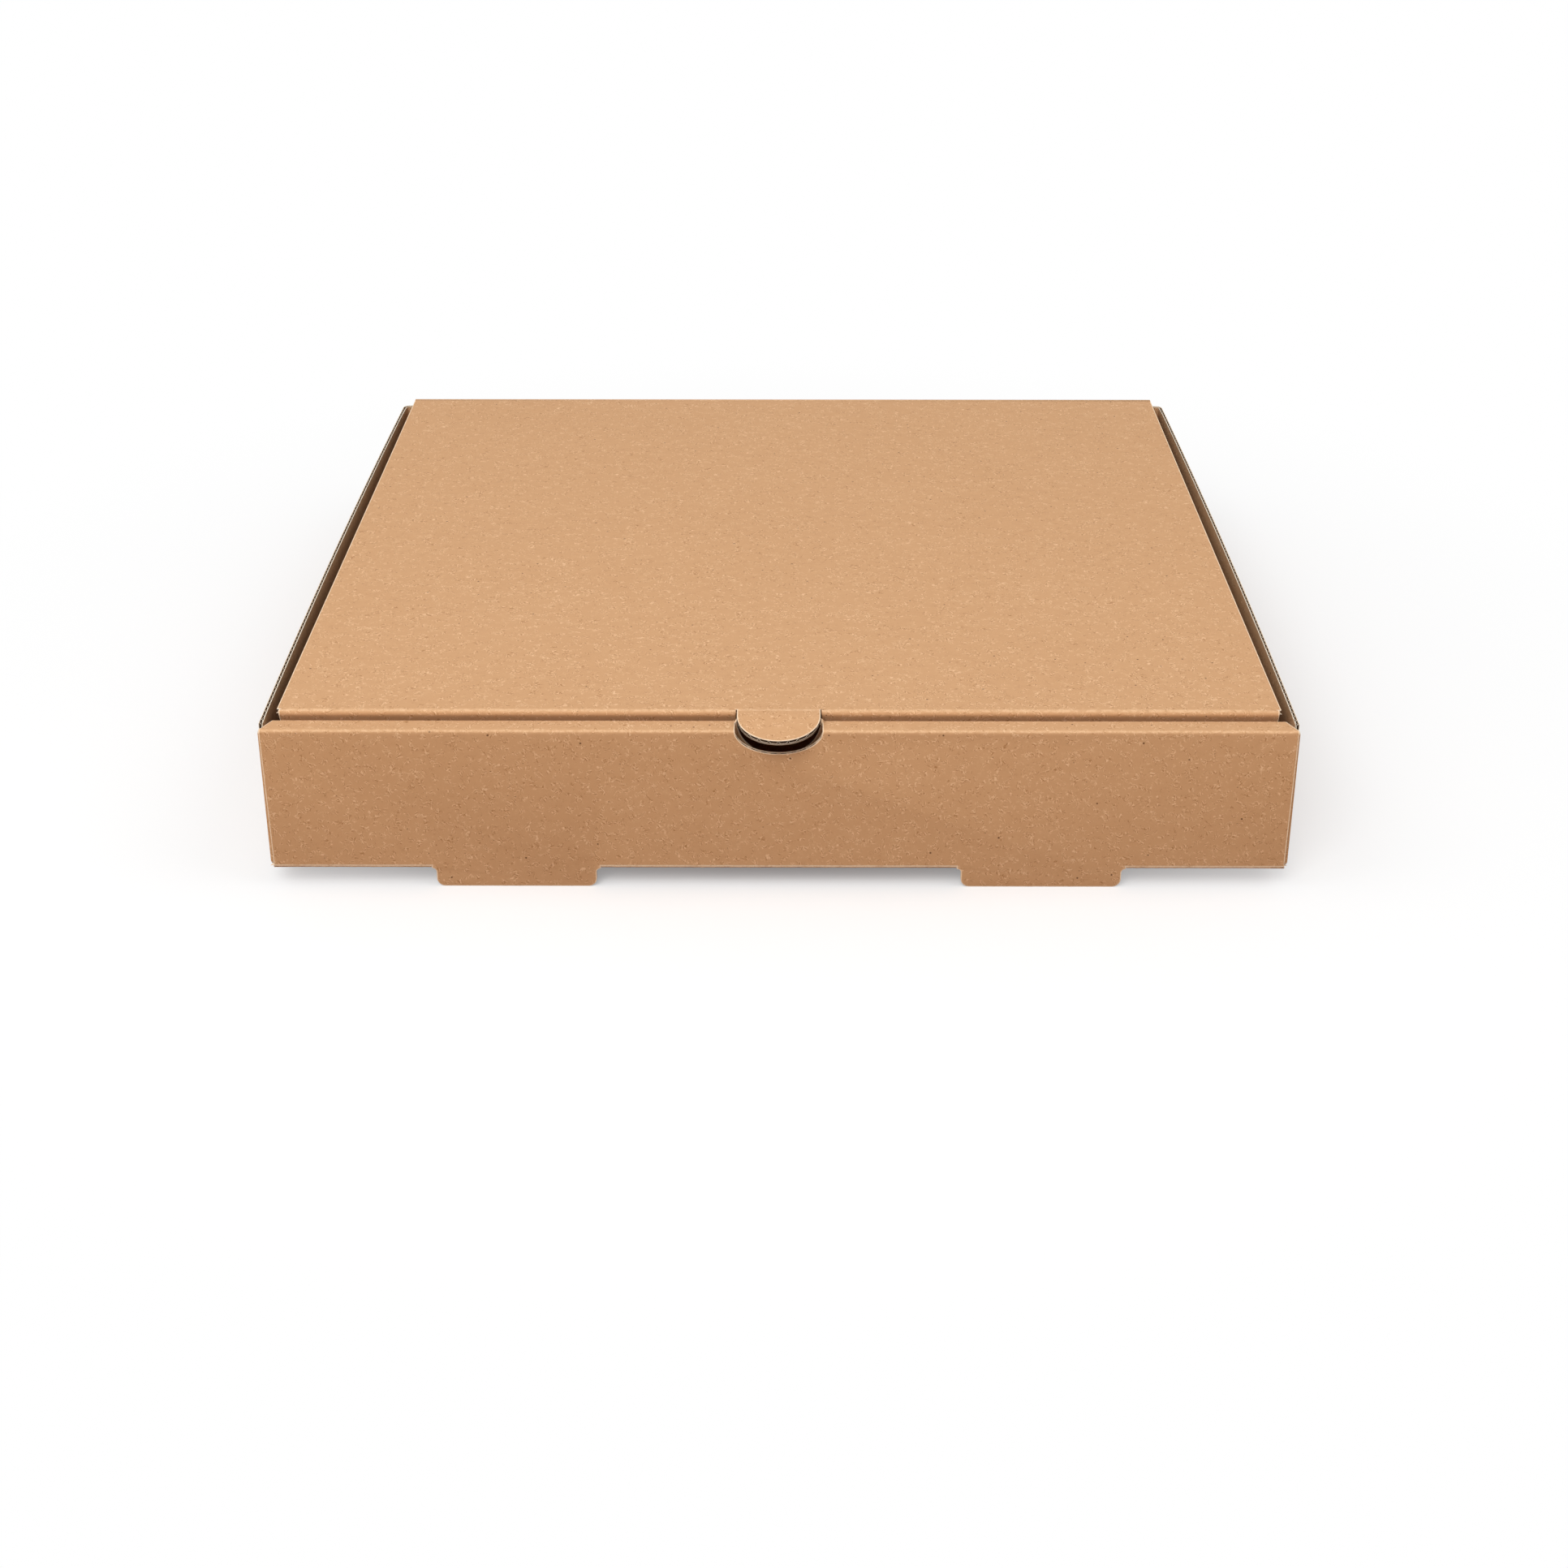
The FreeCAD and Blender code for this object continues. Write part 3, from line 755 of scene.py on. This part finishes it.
def trayBase():
    # From the front fold under the box and up the back wall.
    low, fold = tray["footHeight"], tray["fold"]
    sheet = bmesh.new()
    top = hingeZ - creaseReach
    support = board["foldSupport"]
    rows = [sideStart, sideStart + support] + sideRows() + [sideEnd - support, sideEnd]
    rows = [at(-halfTray, y, low) for y in rows]
    heights = (*tray["wallRows"], wallTop - tray["shoulderDrop"])
    foldWire(sheet, [at(-halfTray, 0, wallFoot), at(-halfTray, 0, low), at(-halfTray, trayDepth, low),
                     at(-halfTray, trayDepth, top)], [fold * almost, fold],
             {1: rows, 2: [at(-halfTray, trayDepth, z) for z in heights]})
    bmesh.ops.remove_doubles(sheet, verts=sheet.verts, dist=0.01 * mm)
    drawOut(sheet, Vector((2 * halfTray * mm, 0, 0)), trayColumns)
    edge = fold + tray["crush"] / 2
    narrow, front = halfTray - tray["wallTaper"], halfFront - tray["wallTaper"]
    trimBoth(sheet, lambda y, z: edge < y < trayDepth - edge and z < low + 1,
             at(halfTray - fold, 0, low), Vector((1, 0, 0)))
    trimBoth(sheet, lambda y, z: y <= edge and z < wallFoot,
             at(front, 0, low), Vector((1, 0, 0)))
    trimBoth(sheet, lambda y, z: y >= trayDepth - edge, at(narrow, trayDepth, 0), Vector((1, 0, 0)))
    shoulder = at(narrow, trayDepth, wallTop - tray["shoulderDrop"])
    rise = tray["shoulderDrop"] - tray["shoulderTop"]
    shoulderWay = Vector((rise, 0, narrow - halfLid)).normalized()
    backTop = lambda y, z: y > trayDepth - 1 and z > wallTop - tray["shoulderDrop"]
    trimBoth(sheet, backTop, shoulder, shoulderWay)
    trimBoth(sheet, backTop, at(halfLid, trayDepth, 0), Vector((1, 0, 0)))

    # Slots that the feet leave.
    halfFoot = tray["footWidth"] / 2
    root = halfFoot + tray["footFillet"]
    slot = halfFoot + tray["slotKerf"]
    far = thickness + tray["footHeight"] + tray["slotKerf"]
    for middle in (-tray["footSpacing"] / 2, tray["footSpacing"] / 2):
        outline = [(middle - root, -1, 0), (middle + root, -1, 0), (middle + root, thickness, 0),
                   (middle + slot, thickness, 0), (middle + slot, far, tray["slotCorner"]),
                   (middle - slot, far, tray["slotCorner"]), (middle - slot, thickness, 0),
                   (middle - root, thickness, 0)]
        cutOut(sheet, lambda x, y, z: y < 30 and z < 30, rounded(outline), "XY")
    return sheet


def sideRows():
    # Places along the side wall, between its folds.
    run = sideEnd - board["foldSupport"] - tray["wallStep"]
    return [tray["wallStep"] + run * i / tray["sideRows"] for i in range(tray["sideRows"])]


def bowAt(y, z):
    # How far the side wall bulges out at this place.
    half = (sideEnd - sideStart) / 2
    share = 1 - ((y - sideStart) / half - 1) ** 2
    rise = (z - wallFoot) / (wallTop - wallFoot)
    return tray["sideBow"] * max(0.0, share) * min(1.0, max(0.0, rise))


def sidePlan(z):
    return [at(halfTray - tray["frontEar"], earFront, z), at(halfTray, earFront, z),
            at(halfTray, earBack, z), at(halfTray - tray["rearEar"], earBack, z)]


def sideWall():
    # Ear, bowed wall and ear in one strip, then the fold to the bottom.
    sheet = bmesh.new()
    foldWire(sheet, sidePlan(wallFoot), [tray["fold"] * almost, tray["rearFold"] * almost],
             {1: [at(halfTray, y, wallFoot) for y in sideRows()]})
    bmesh.ops.remove_doubles(sheet, verts=sheet.verts, dist=0.01 * mm)
    foot = [e for e in sheet.edges
            if all(sideStart - 0.01 < local(v.co)[1] < sideEnd + 0.01
                   and local(v.co)[0] > halfTray - 0.01 for v in e.verts)]
    # The fold: the wall's lower edge spun inwards to the bottom.
    centre = at(halfTray - tray["fold"], 0, wallFoot)
    bmesh.ops.spin(sheet, geom=foot, cent=centre, axis=(0, 1, 0), dvec=(0, 0, 0),
                   angle=math.pi / 2, steps=board["foldSteps"], use_duplicate=False)
    upper = [e for e in sheet.edges if all(abs(v.co.z / mm - wallFoot) < 0.001 for v in e.verts)]
    risers = [wallFoot + board["foldSupport"], *tray["wallRows"], wallTop - board["bandLength"], wallTop]
    level = wallFoot
    for target in risers:
        made = bmesh.ops.extrude_edge_only(sheet, edges=upper)["geom"]
        lifted = [g for g in made if isinstance(g, bmesh.types.BMVert)]
        bmesh.ops.translate(sheet, verts=lifted, vec=(0, 0, (target - level) * mm))
        upper = [g for g in made if isinstance(g, bmesh.types.BMEdge)
                 and all(abs(v.co.z / mm - target) < 0.001 for v in g.verts)]
        level = target
    for vert in sheet.verts:
        x, y, z = local(vert.co)
        if x > halfTray - 0.01:
            vert.co.x += bowAt(y, z) * mm

    # In front the wall and its ear stay under the strip. The ears' corners are cut off.
    trim(sheet, lambda x, y, z: y < tray["wallStep"] and z > 30, at(0, 0, tray["frontEarTop"]),
         Vector((0, 0, 1)))
    slant = tray["earSlant"]
    root = halfTray - tray["rearFold"] - slant
    for length, zone in ((tray["frontEar"], lambda x, y, z: y < sideStart and x < halfTray - 3),
                         (tray["rearEar"], lambda x, y, z: y > sideEnd and x < halfTray - 3)):
        tip = halfTray - length
        across = Vector((slant, 0, tip - root)).normalized() * -1
        trim(sheet, lambda x, y, z: zone(x, y, z) and z > 30, at(tip, 0, wallTop - slant), across)
        trim(sheet, lambda x, y, z: zone(x, y, z) and z < 30, at(tip, 0, wallFoot + slant),
             Vector((-1, 0, -1)).normalized())
    return sheet


def wallPinch(point):
    # How much thinner the side wall is here, towards its upper edge.
    x, y, z = local(point)
    if abs(x) < halfTray - 0.3:
        return 0.0
    rise = 1 - (wallTop - z) / board["bandLength"]
    run = min((y - sideStart) / 5, (sideEnd - y) / 5)
    return tray["wallPinch"] * min(1.0, max(0.0, rise)) * min(1.0, max(0.0, run))


def wallTopAt(spot):
    # Height of the side wall's and the ears' upper edge.
    x, y, z = local(spot)
    x = abs(x)
    top = wallTop
    root = halfTray - tray["rearFold"] - tray["earSlant"]
    for length, isEar in ((tray["frontEar"], y < sideStart), (tray["rearEar"], y > sideEnd)):
        if isEar and x < root:
            tip = halfTray - length
            top = wallTop - tray["earSlant"] * (root - x) / (root - tip)
    return min(top, tray["frontEarTop"]) if y < tray["wallStep"] else top


def trayFlutes():
    ribbons = bmesh.new()
    down = Vector((0, 0, -1))
    wire = bmesh.new()
    foldWire(wire, sidePlan(wallTop), [tray["fold"], tray["rearFold"]],
             {1: [at(halfTray, y, wallTop) for y in sideRows()]})
    points = orderedPoints(wire)
    for point in points:
        if point.x / mm > halfTray - 0.01:
            point.x += bowAt((point.y - frontY) / mm, wallTop) * mm
    addRibbon(ribbons, wireStations(points, down, wallTopAt), board["bandLength"], wallPinch)
    mirrorAcross(ribbons)
    # Notch: both layers of the front wall.
    half = tray["notchHalf"] - 0.4
    for y, way, rim in ((0, -1, notchRim), (tray["stripDepth"], 1, innerRim)):
        stations = acrossStations(half, rim, Vector((0, way, 0)), down, lambda x, z: at(x, y, z))
        addRibbon(ribbons, stations, board["bandLength"])
    # Upright edges of the front wall, along the flutes.
    band = board["bandLength"]
    for side in (1, -1):
        wire = bmesh.new()
        count = int(band / fluteStep)
        verts = []
        for i in range(count + 1):
            x = halfFront - board["core"] - fluteStep * i
            verts.append(wire.verts.new(at(side * x, coreDepth(x), wallTop - tray["fold"])))
        for pair in zip(verts, verts[1:]):
            wire.edges.new(pair)
        drop = wallTop - tray["fold"] - wallFoot
        drawOut(wire, Vector((-side * tray["wallTaper"] * mm, 0, -drop * mm)), 4)
        append(ribbons, wire)
    return ribbons


def orderedPoints(wire):
    # The wire's points from its first end on.
    ends = [v for v in wire.verts if len(v.link_edges) == 1]
    here = min(ends, key=lambda v: v.co.y)
    points, passed = [here.co.copy()], None
    while True:
        ahead = [e for e in here.link_edges if e is not passed]
        if not ahead:
            break
        passed = ahead[0]
        here = passed.other_vert(here)
        points.append(here.co.copy())
    wire.free()
    return points


def makeTray():
    sheet = traySpine()
    append(sheet, trayBase())
    side = sideWall()
    mirrorAcross(side)
    append(sheet, side)
    fold, strip = tray["fold"], tray["stripDepth"]
    support = board["foldSupport"]

    def isFlat(x, y, z):
        upright = wallFoot + support < z < wallTop - fold - support
        inFront = y < 0.001 or abs(y - strip) < 0.001
        atBack = y > trayDepth - 0.001
        return (upright and (inFront or atBack)) or (z < wallFoot and inFront)

    mergeFlat(sheet, isFlat)
    weld(sheet, at(0, 0, 35), Vector((0, -1, 0)))
    step = 2 * halfTray / trayColumns

    def inFold(y, z):
        turn = tray["stripFold"]
        onStrip = z > wallTop - turn and (y < turn or strip - turn < y < strip + 1)
        return onStrip or (z < wallFoot and (0.01 < y < fold or y > trayDepth - fold))

    waveColumns(sheet, inFold, halfTray, step, tray["foldWave"])
    markCuts(sheet, lambda x, y, z: y > trayDepth - 0.5 and z > hingeZ - creaseReach - 0.6)
    makeLiners(sheet, ("tray_outer_paper", "tray_inner_paper"), (kraftTray, kraftInside), "tray", "tray",
               wallPinch, isFlat)
    ribbons = trayFlutes()
    settleFaces(ribbons)
    core = makePiece("tray_flutes", ribbons, [flutedCorePaintedShade, cutRim], "tray")
    addPaper(core, board["core"], 0)


makeTray()
print("tray made")


# Lid
underZ = lidTop - lid["noseDrop"]
underY = lid["front"] + lid["nose"]
noseLean = math.atan2(lid["nose"], lid["noseDrop"])
lean = math.atan2(lid["flapFoot"] - underY, underZ - flapEnd)
foldLine = lid["front"] + lid["fold"] * math.tan((math.pi / 2 + noseLean) / 2)
flapDown = Vector((0, math.sin(lean), -math.cos(lean)))
flapOut = Vector((0, -math.cos(lean), -math.sin(lean)))


def onFlap(x, z):
    return at(x, underY + (underZ - z) * math.tan(lean), z)


def droop(point):
    # Bends the flat tab down from its root.
    way = foldLine - (point.y - frontY) / mm
    under = lidTop - point.z / mm
    if way <= 0:
        return point
    full = math.radians(lid["tabDroop"])
    bend = lid["tabBend"]
    bent = min(way, bend)
    angle = full * bent / bend
    radius = bend / full
    ahead = radius * math.sin(angle) + max(0.0, way - bend) * math.cos(full)
    drop = radius * (1 - math.cos(angle)) + max(0.0, way - bend) * math.sin(full)
    return at(point.x / mm, foldLine - ahead - under * math.sin(angle),
              lidTop - drop - under * math.cos(angle))


def lidTopSheet():
    # Top panel with the thumb tab still flat in front of it.
    columns = lid["columns"]
    rear = hingeY - creaseReach
    sheet = bmesh.new()
    length = rear - foldLine
    ys = [rear - length * i / lid["topRows"] for i in range(lid["topRows"])]
    tip = foldLine - lid["tabLength"] - 1
    ys += [foldLine + board["foldSupport"], foldLine]
    ys += [foldLine + (tip - foldLine) * (i + 1) / 9 for i in range(9)]
    verts = [sheet.verts.new(at(-halfLid, y, lidTop)) for y in ys]
    for pair in zip(verts, verts[1:]):
        sheet.edges.new(pair)
    drawOut(sheet, Vector((2 * halfLid * mm, 0, 0)), columns)
    # What lies in front of the fold, all but the tab, is cut away.
    half = lid["tabHalf"]
    straight = foldLine - (lid["tabLength"] - half)
    outline = [Vector((half, foldLine + 9))] + ellipse((0, straight), half, half, 0, -math.pi, 56)
    outline.append(Vector((-half, foldLine + 9)))
    cutOut(sheet, lambda x, y, z: y < foldLine, outline, "XY", keep=True)
    return sheet


def lidFlap():
    # Front fold and tuck flap, with the gap that the tab leaves.
    sheet = bmesh.new()
    start = at(-halfLid, foldLine + 5, lidTop)
    corner = at(-halfLid, lid["front"], lidTop)
    under = at(-halfLid, underY, underZ)
    foot = at(-halfLid, lid["flapFoot"], flapEnd)
    rows = [onFlap(-halfLid, z) for z in (46.0, 36.4, 24.0)]
    foldWire(sheet, [start, corner, under, foot], [lid["fold"], lid["fold"] * 2], {2: rows}, 0.35)
    drawOut(sheet, Vector((2 * halfLid * mm, 0, 0)), lid["columns"])
    trim(sheet, lambda x, y, z: z > lidTop - 0.01, at(0, foldLine, 0), Vector((0, 1, 0)))
    taper = lid["flapTaper"]
    halfway = (lidTop + flapEnd) / 2
    cornerWay = Vector((halfway - flapEnd, 0, -taper)).normalized()
    trimBoth(sheet, lambda y, z: z < halfway + 20, at(halfLid, 0, halfway), cornerWay)
    half = lid["tabHalf"] + lid["tabKerf"]
    outline = ellipse((0, lid["gapCentre"]), half, half, math.pi, 2 * math.pi, 40)
    outline += [Vector((half, lidTop + 9)), Vector((-half, lidTop + 9))]
    cutOut(sheet, lambda x, y, z: abs(x) < half + 3 and z > 30, outline, "XZ")
    # The fold and the flap end a little short of the top panel's corners.
    trimBoth(sheet, lambda y, z: True, at(halfLid - lid["foldInset"], 0, 0), Vector((1, 0, 0)))
    return sheet


def tabPinch(point):
    # The tab's tip is thicker than the board.
    x, y, z = local(point)
    if abs(x) > lid["tabHalf"] + 0.2 or y > 4:
        return 0.0
    return -lid["tabSwell"] * min(1.0, (4 - y) / 5)


def tabWave(along, pinch):
    # Open flutes in the upper part of the tab's thickness, with narrow walls between them.
    top = board["liner"] + board["core"] / 2
    peak = (0.5 + 0.5 * math.cos(2 * math.pi * along / board["flutePitch"])) ** lid["tabPeaks"]
    return top + ((thickness - pinch) * 0.52 - top) * (1 - peak)


def lidFlutes():
    ribbons = bmesh.new()
    # Rim of the thumb tab.
    half = lid["tabHalf"]
    straight = lid["tabLength"] - half
    up = Vector((0, 0, 1))
    rim = lambda x: foldLine - straight - math.sqrt(max(0.0, half ** 2 - x ** 2))
    stations = acrossStations(half - 0.5, rim, up, Vector((0, 1, 0)), lambda x, y: at(x, y, lidTop))
    addRibbon(ribbons, stations, board["bandLength"] / 2, tabPinch, tabWave)
    for share in (0.60, 0.69, 0.78):
        addRibbon(ribbons, stations, 1.0, tabPinch, lambda along, pinch: (thickness - pinch) * share)
    for vert in ribbons.verts:
        vert.co = droop(vert.co)
    # Lower edge of the flap, and the rim of the gap in it.
    stations = acrossStations(halfLid - lid["flapTaper"], lambda x: flapEnd, flapOut, -flapDown, onFlap)
    addRibbon(ribbons, stations, board["bandLength"])
    gapHalf = lid["tabHalf"] + lid["tabKerf"]
    gapRim = lambda x: lid["gapCentre"] - math.sqrt(max(0.0, gapHalf ** 2 - x ** 2))
    stations = acrossStations(gapHalf - 0.5, gapRim, flapOut, flapDown, onFlap)
    addRibbon(ribbons, stations, board["bandLength"])
    # Sides of the top panel, along the flutes.
    rear = hingeY - creaseReach
    for side in (1, -1):
        wire = bmesh.new()
        verts = []
        for i in range(int(board["bandLength"] / fluteStep) + 1):
            x = halfLid - board["core"] - fluteStep * i
            verts.append(wire.verts.new(at(side * x, rear, lidTop - coreDepth(x))))
        for pair in zip(verts, verts[1:]):
            wire.edges.new(pair)
        drawOut(wire, Vector((0, (foldLine - rear) * mm, 0)), 6)
        append(ribbons, wire)
    return ribbons


def makeLid():
    sheet = lidTopSheet()
    append(sheet, lidFlap())
    support = board["foldSupport"]

    def isFlat(x, y, z):
        onTop = y > foldLine + support and y < hingeY - creaseReach - support
        return onTop or z < underZ - 1.5

    mergeFlat(sheet, isFlat)
    weld(sheet, at(0, 150, lidTop), Vector((0, 0, 1)))
    inFold = lambda y, z: y < foldLine - 0.05 and underZ < z < lidTop - 0.001
    waveColumns(sheet, inFold, halfLid, 2 * halfLid / lid["columns"], lid["foldWave"])
    besideTab = lambda x, y, z: lid["tabHalf"] + 0.2 < abs(x) < lid["tabHalf"] + 2 and z > underZ - 1
    markCuts(sheet, lambda x, y, z: y > hingeY - creaseReach - 0.6, besideTab)
    tabEdge = lid["tabHalf"] + 0.1
    for vert in sheet.verts:
        x, y, z = local(vert.co)
        if y < foldLine and abs(x) < tabEdge and z > lidTop - 0.2:
            vert.co = droop(vert.co)
    sheet.normal_update()
    makeLiners(sheet, ("lid_outer_paper", "lid_inner_paper"), (kraftLid, kraftLid), "lid", "lid",
               tabPinch, isFlat)
    ribbons = lidFlutes()
    settleFaces(ribbons)
    core = makePiece("lid_flutes", ribbons, [flutedCorePaintedShade, cutRim], "lid")
    addPaper(core, board["core"], 0)


makeLid()
print("lid made")


# Crease between the back wall and the lid: one strip of board, rounded at the hinge.
def makeCrease():
    half = thickness / 2
    reach = creaseReach + 0.04     # runs this little way into its neighbours
    corners = [(half, -reach), (half, half), (-reach, half),
               (-reach, -half), (-half, -half), (-half, -reach)]
    strip = bmesh.new()
    verts = [strip.verts.new(at(-halfLid, hingeY + y, hingeZ + z)) for y, z in corners]
    strip.faces.new(verts)
    bmesh.ops.bevel(strip, geom=[verts[1]], offset=1.5 * mm, offset_type="OFFSET", segments=10,
                    profile=0.5, affect="VERTICES", material=-1)
    inner = [e for e in strip.edges
             if any((v.co - at(-halfLid, hingeY - half, hingeZ - half)).length < 0.01 * mm for v in e.verts)]
    bmesh.ops.subdivide_edges(strip, edges=inner, cuts=6)
    made = bmesh.ops.extrude_face_region(strip, geom=strip.faces[:])
    moved = [g for g in made["geom"] if isinstance(g, bmesh.types.BMVert)]
    bmesh.ops.translate(strip, verts=moved, vec=(2 * halfLid * mm, 0, 0))
    bmesh.ops.recalc_face_normals(strip, faces=strip.faces)
    for face in strip.faces:
        if abs(face.normal.x) > 0.5:
            face.material_index = 1
    piece = makePiece("lid_crease", strip, [kraftCrease, cutRim], None)
    for polygon in piece.data.polygons:
        polygon.use_smooth = polygon.material_index == 0
    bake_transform(piece)


makeCrease()
print("crease made")


# Floor, light and camera
stage = {
    "floorSize": 9.0,
    "bounceNear": (0.21, 0.08, 0.02, 1),    # what the floor throws back at the box
    "bounceFar": (0.47, 0.33, 0.21, 1),
    "pale": 0.97,
    "ambient": 0.46,
    "lampSize": 1.8,
    "lampDistance": 2.7,
    "lamps": {             # power, degrees above the floor, degrees to the left of the front
        "key": (37.0, 45.0, 15.0),
        "left": (12.0, 50.0, 75.0),
        "right": (11.0, 50.0, -75.0),
    },
}


def lightPath(start):
    # What the camera sees of the floor and the backdrop, directly or in a gloss.
    seen = start.node("LightPath", out="Is Camera Ray")
    for name in ("Is Glossy Ray", "Is Transmission Ray"):
        seen = seen.calc("MAXIMUM", seen, start.node("LightPath", out=name))
    return seen


def makeFloor():
    # The floor touches the feet and the rear fold, so it slopes a little against the box.
    footBack = thickness
    foldMiddle = trayDepth - tray["fold"]
    slope = math.atan2(tray["footHeight"], foldMiddle - footBack)
    bm = bmesh.new()
    size = stage["floorSize"]
    bmesh.ops.create_grid(bm, x_segments=8, y_segments=8, size=size / 2)
    bmesh.ops.rotate(bm, cent=(0, 0, 0), matrix=Matrix.Rotation(slope, 3, "X"), verts=bm.verts)
    bmesh.ops.translate(bm, verts=bm.verts, vec=at(0, footBack, 0))
    mesh = bpy.data.meshes.new("floor")
    bm.to_mesh(mesh)
    bm.free()
    floor = bpy.data.objects.new("floor", mesh)
    bpy.context.scene.collection.objects.link(floor)
    material, shader, start = newMaterial("paleFloor")
    shader.inputs["Roughness"].default_value = 0.9
    shader.inputs["Specular IOR Level"].default_value = 0.0
    point = start.node("TexCoord", out="Object")
    away = point.vector("LENGTH", point, out="Value")
    thrown = away.ramp(0.26, 0.55).mix(stage["bounceNear"], stage["bounceFar"])
    start.tree.links.new(thrown.socket, shader.inputs["Base Color"])
    pale = start.node("BsdfDiffuse", {}, {"Color": (stage["pale"],) * 3 + (1,)})
    white = start.node("Emission", {}, {"Color": (1, 1, 1, 1), "Strength": 1.0})
    far = away.ramp(0.04, 0.44)
    seenFloor = start.node("MixShader", {}, {0: far, 1: pale, 2: white})
    bounced = Sock(start.tree, shader.outputs[0])
    both = start.node("MixShader", {}, {0: lightPath(start), 1: bounced, 2: seenFloor})
    output = start.tree.nodes["Material Output"]
    start.tree.links.new(both.socket, output.inputs["Surface"])
    mesh.materials.append(material)


def makeWorld():
    world = bpy.data.worlds.new("studio")
    world.use_nodes = True
    bpy.context.scene.world = world
    start = Sock(world.node_tree)
    plain = world.node_tree.nodes["Background"]
    plain.inputs["Color"].default_value = (1, 1, 1, 1)
    plain.inputs["Strength"].default_value = stage["ambient"]
    white = start.node("Background", {}, {"Color": (1, 1, 1, 1), "Strength": 1.0})
    lit = Sock(world.node_tree, plain.outputs[0])
    both = start.node("MixShader", {}, {0: lightPath(start), 1: lit, 2: white})
    output = world.node_tree.nodes["World Output"]
    world.node_tree.links.new(both.socket, output.inputs["Surface"])


def makeLamp(name, power, height, left):
    light = bpy.data.lights.new(name, "AREA")
    light.shape = "DISK"
    light.size = stage["lampSize"]
    light.energy = power
    lamp = bpy.data.objects.new(name, light)
    bpy.context.scene.collection.objects.link(lamp)
    height, left = math.radians(height), math.radians(left)
    way = Vector((-math.sin(left) * math.cos(height), -math.cos(left) * math.cos(height), math.sin(height)))
    lamp.location = way * stage["lampDistance"]
    lamp.rotation_mode = "QUATERNION"
    lamp.rotation_quaternion = (-way).to_track_quat("-Z", "Y")


camera = {
    "place": (4.3, -754.9, 416.8),   # millimetres from the front wall's outer face
    "pitch": 26.52,                  # degrees down
    "yaw": -0.187,
    "lens": 56.4,
}


def makeCamera():
    data = bpy.data.cameras.new("camera")
    data.lens = camera["lens"]
    data.sensor_width = 36.0
    data.clip_start = 0.05
    data.clip_end = 30.0
    viewer = bpy.data.objects.new("camera", data)
    bpy.context.scene.collection.objects.link(viewer)
    viewer.location = at(*camera["place"])
    pitch, yaw = math.radians(camera["pitch"]), math.radians(camera["yaw"])
    way = Vector((math.sin(yaw) * math.cos(pitch), math.cos(yaw) * math.cos(pitch), -math.sin(pitch)))
    viewer.rotation_mode = "QUATERNION"
    viewer.rotation_quaternion = way.to_track_quat("-Z", "Y")
    bpy.context.scene.camera = viewer


makeFloor()
makeWorld()
for name, values in stage["lamps"].items():
    makeLamp(name, *values)
makeCamera()
bpy.context.scene.view_settings.view_transform = "Standard"
print("stage made")
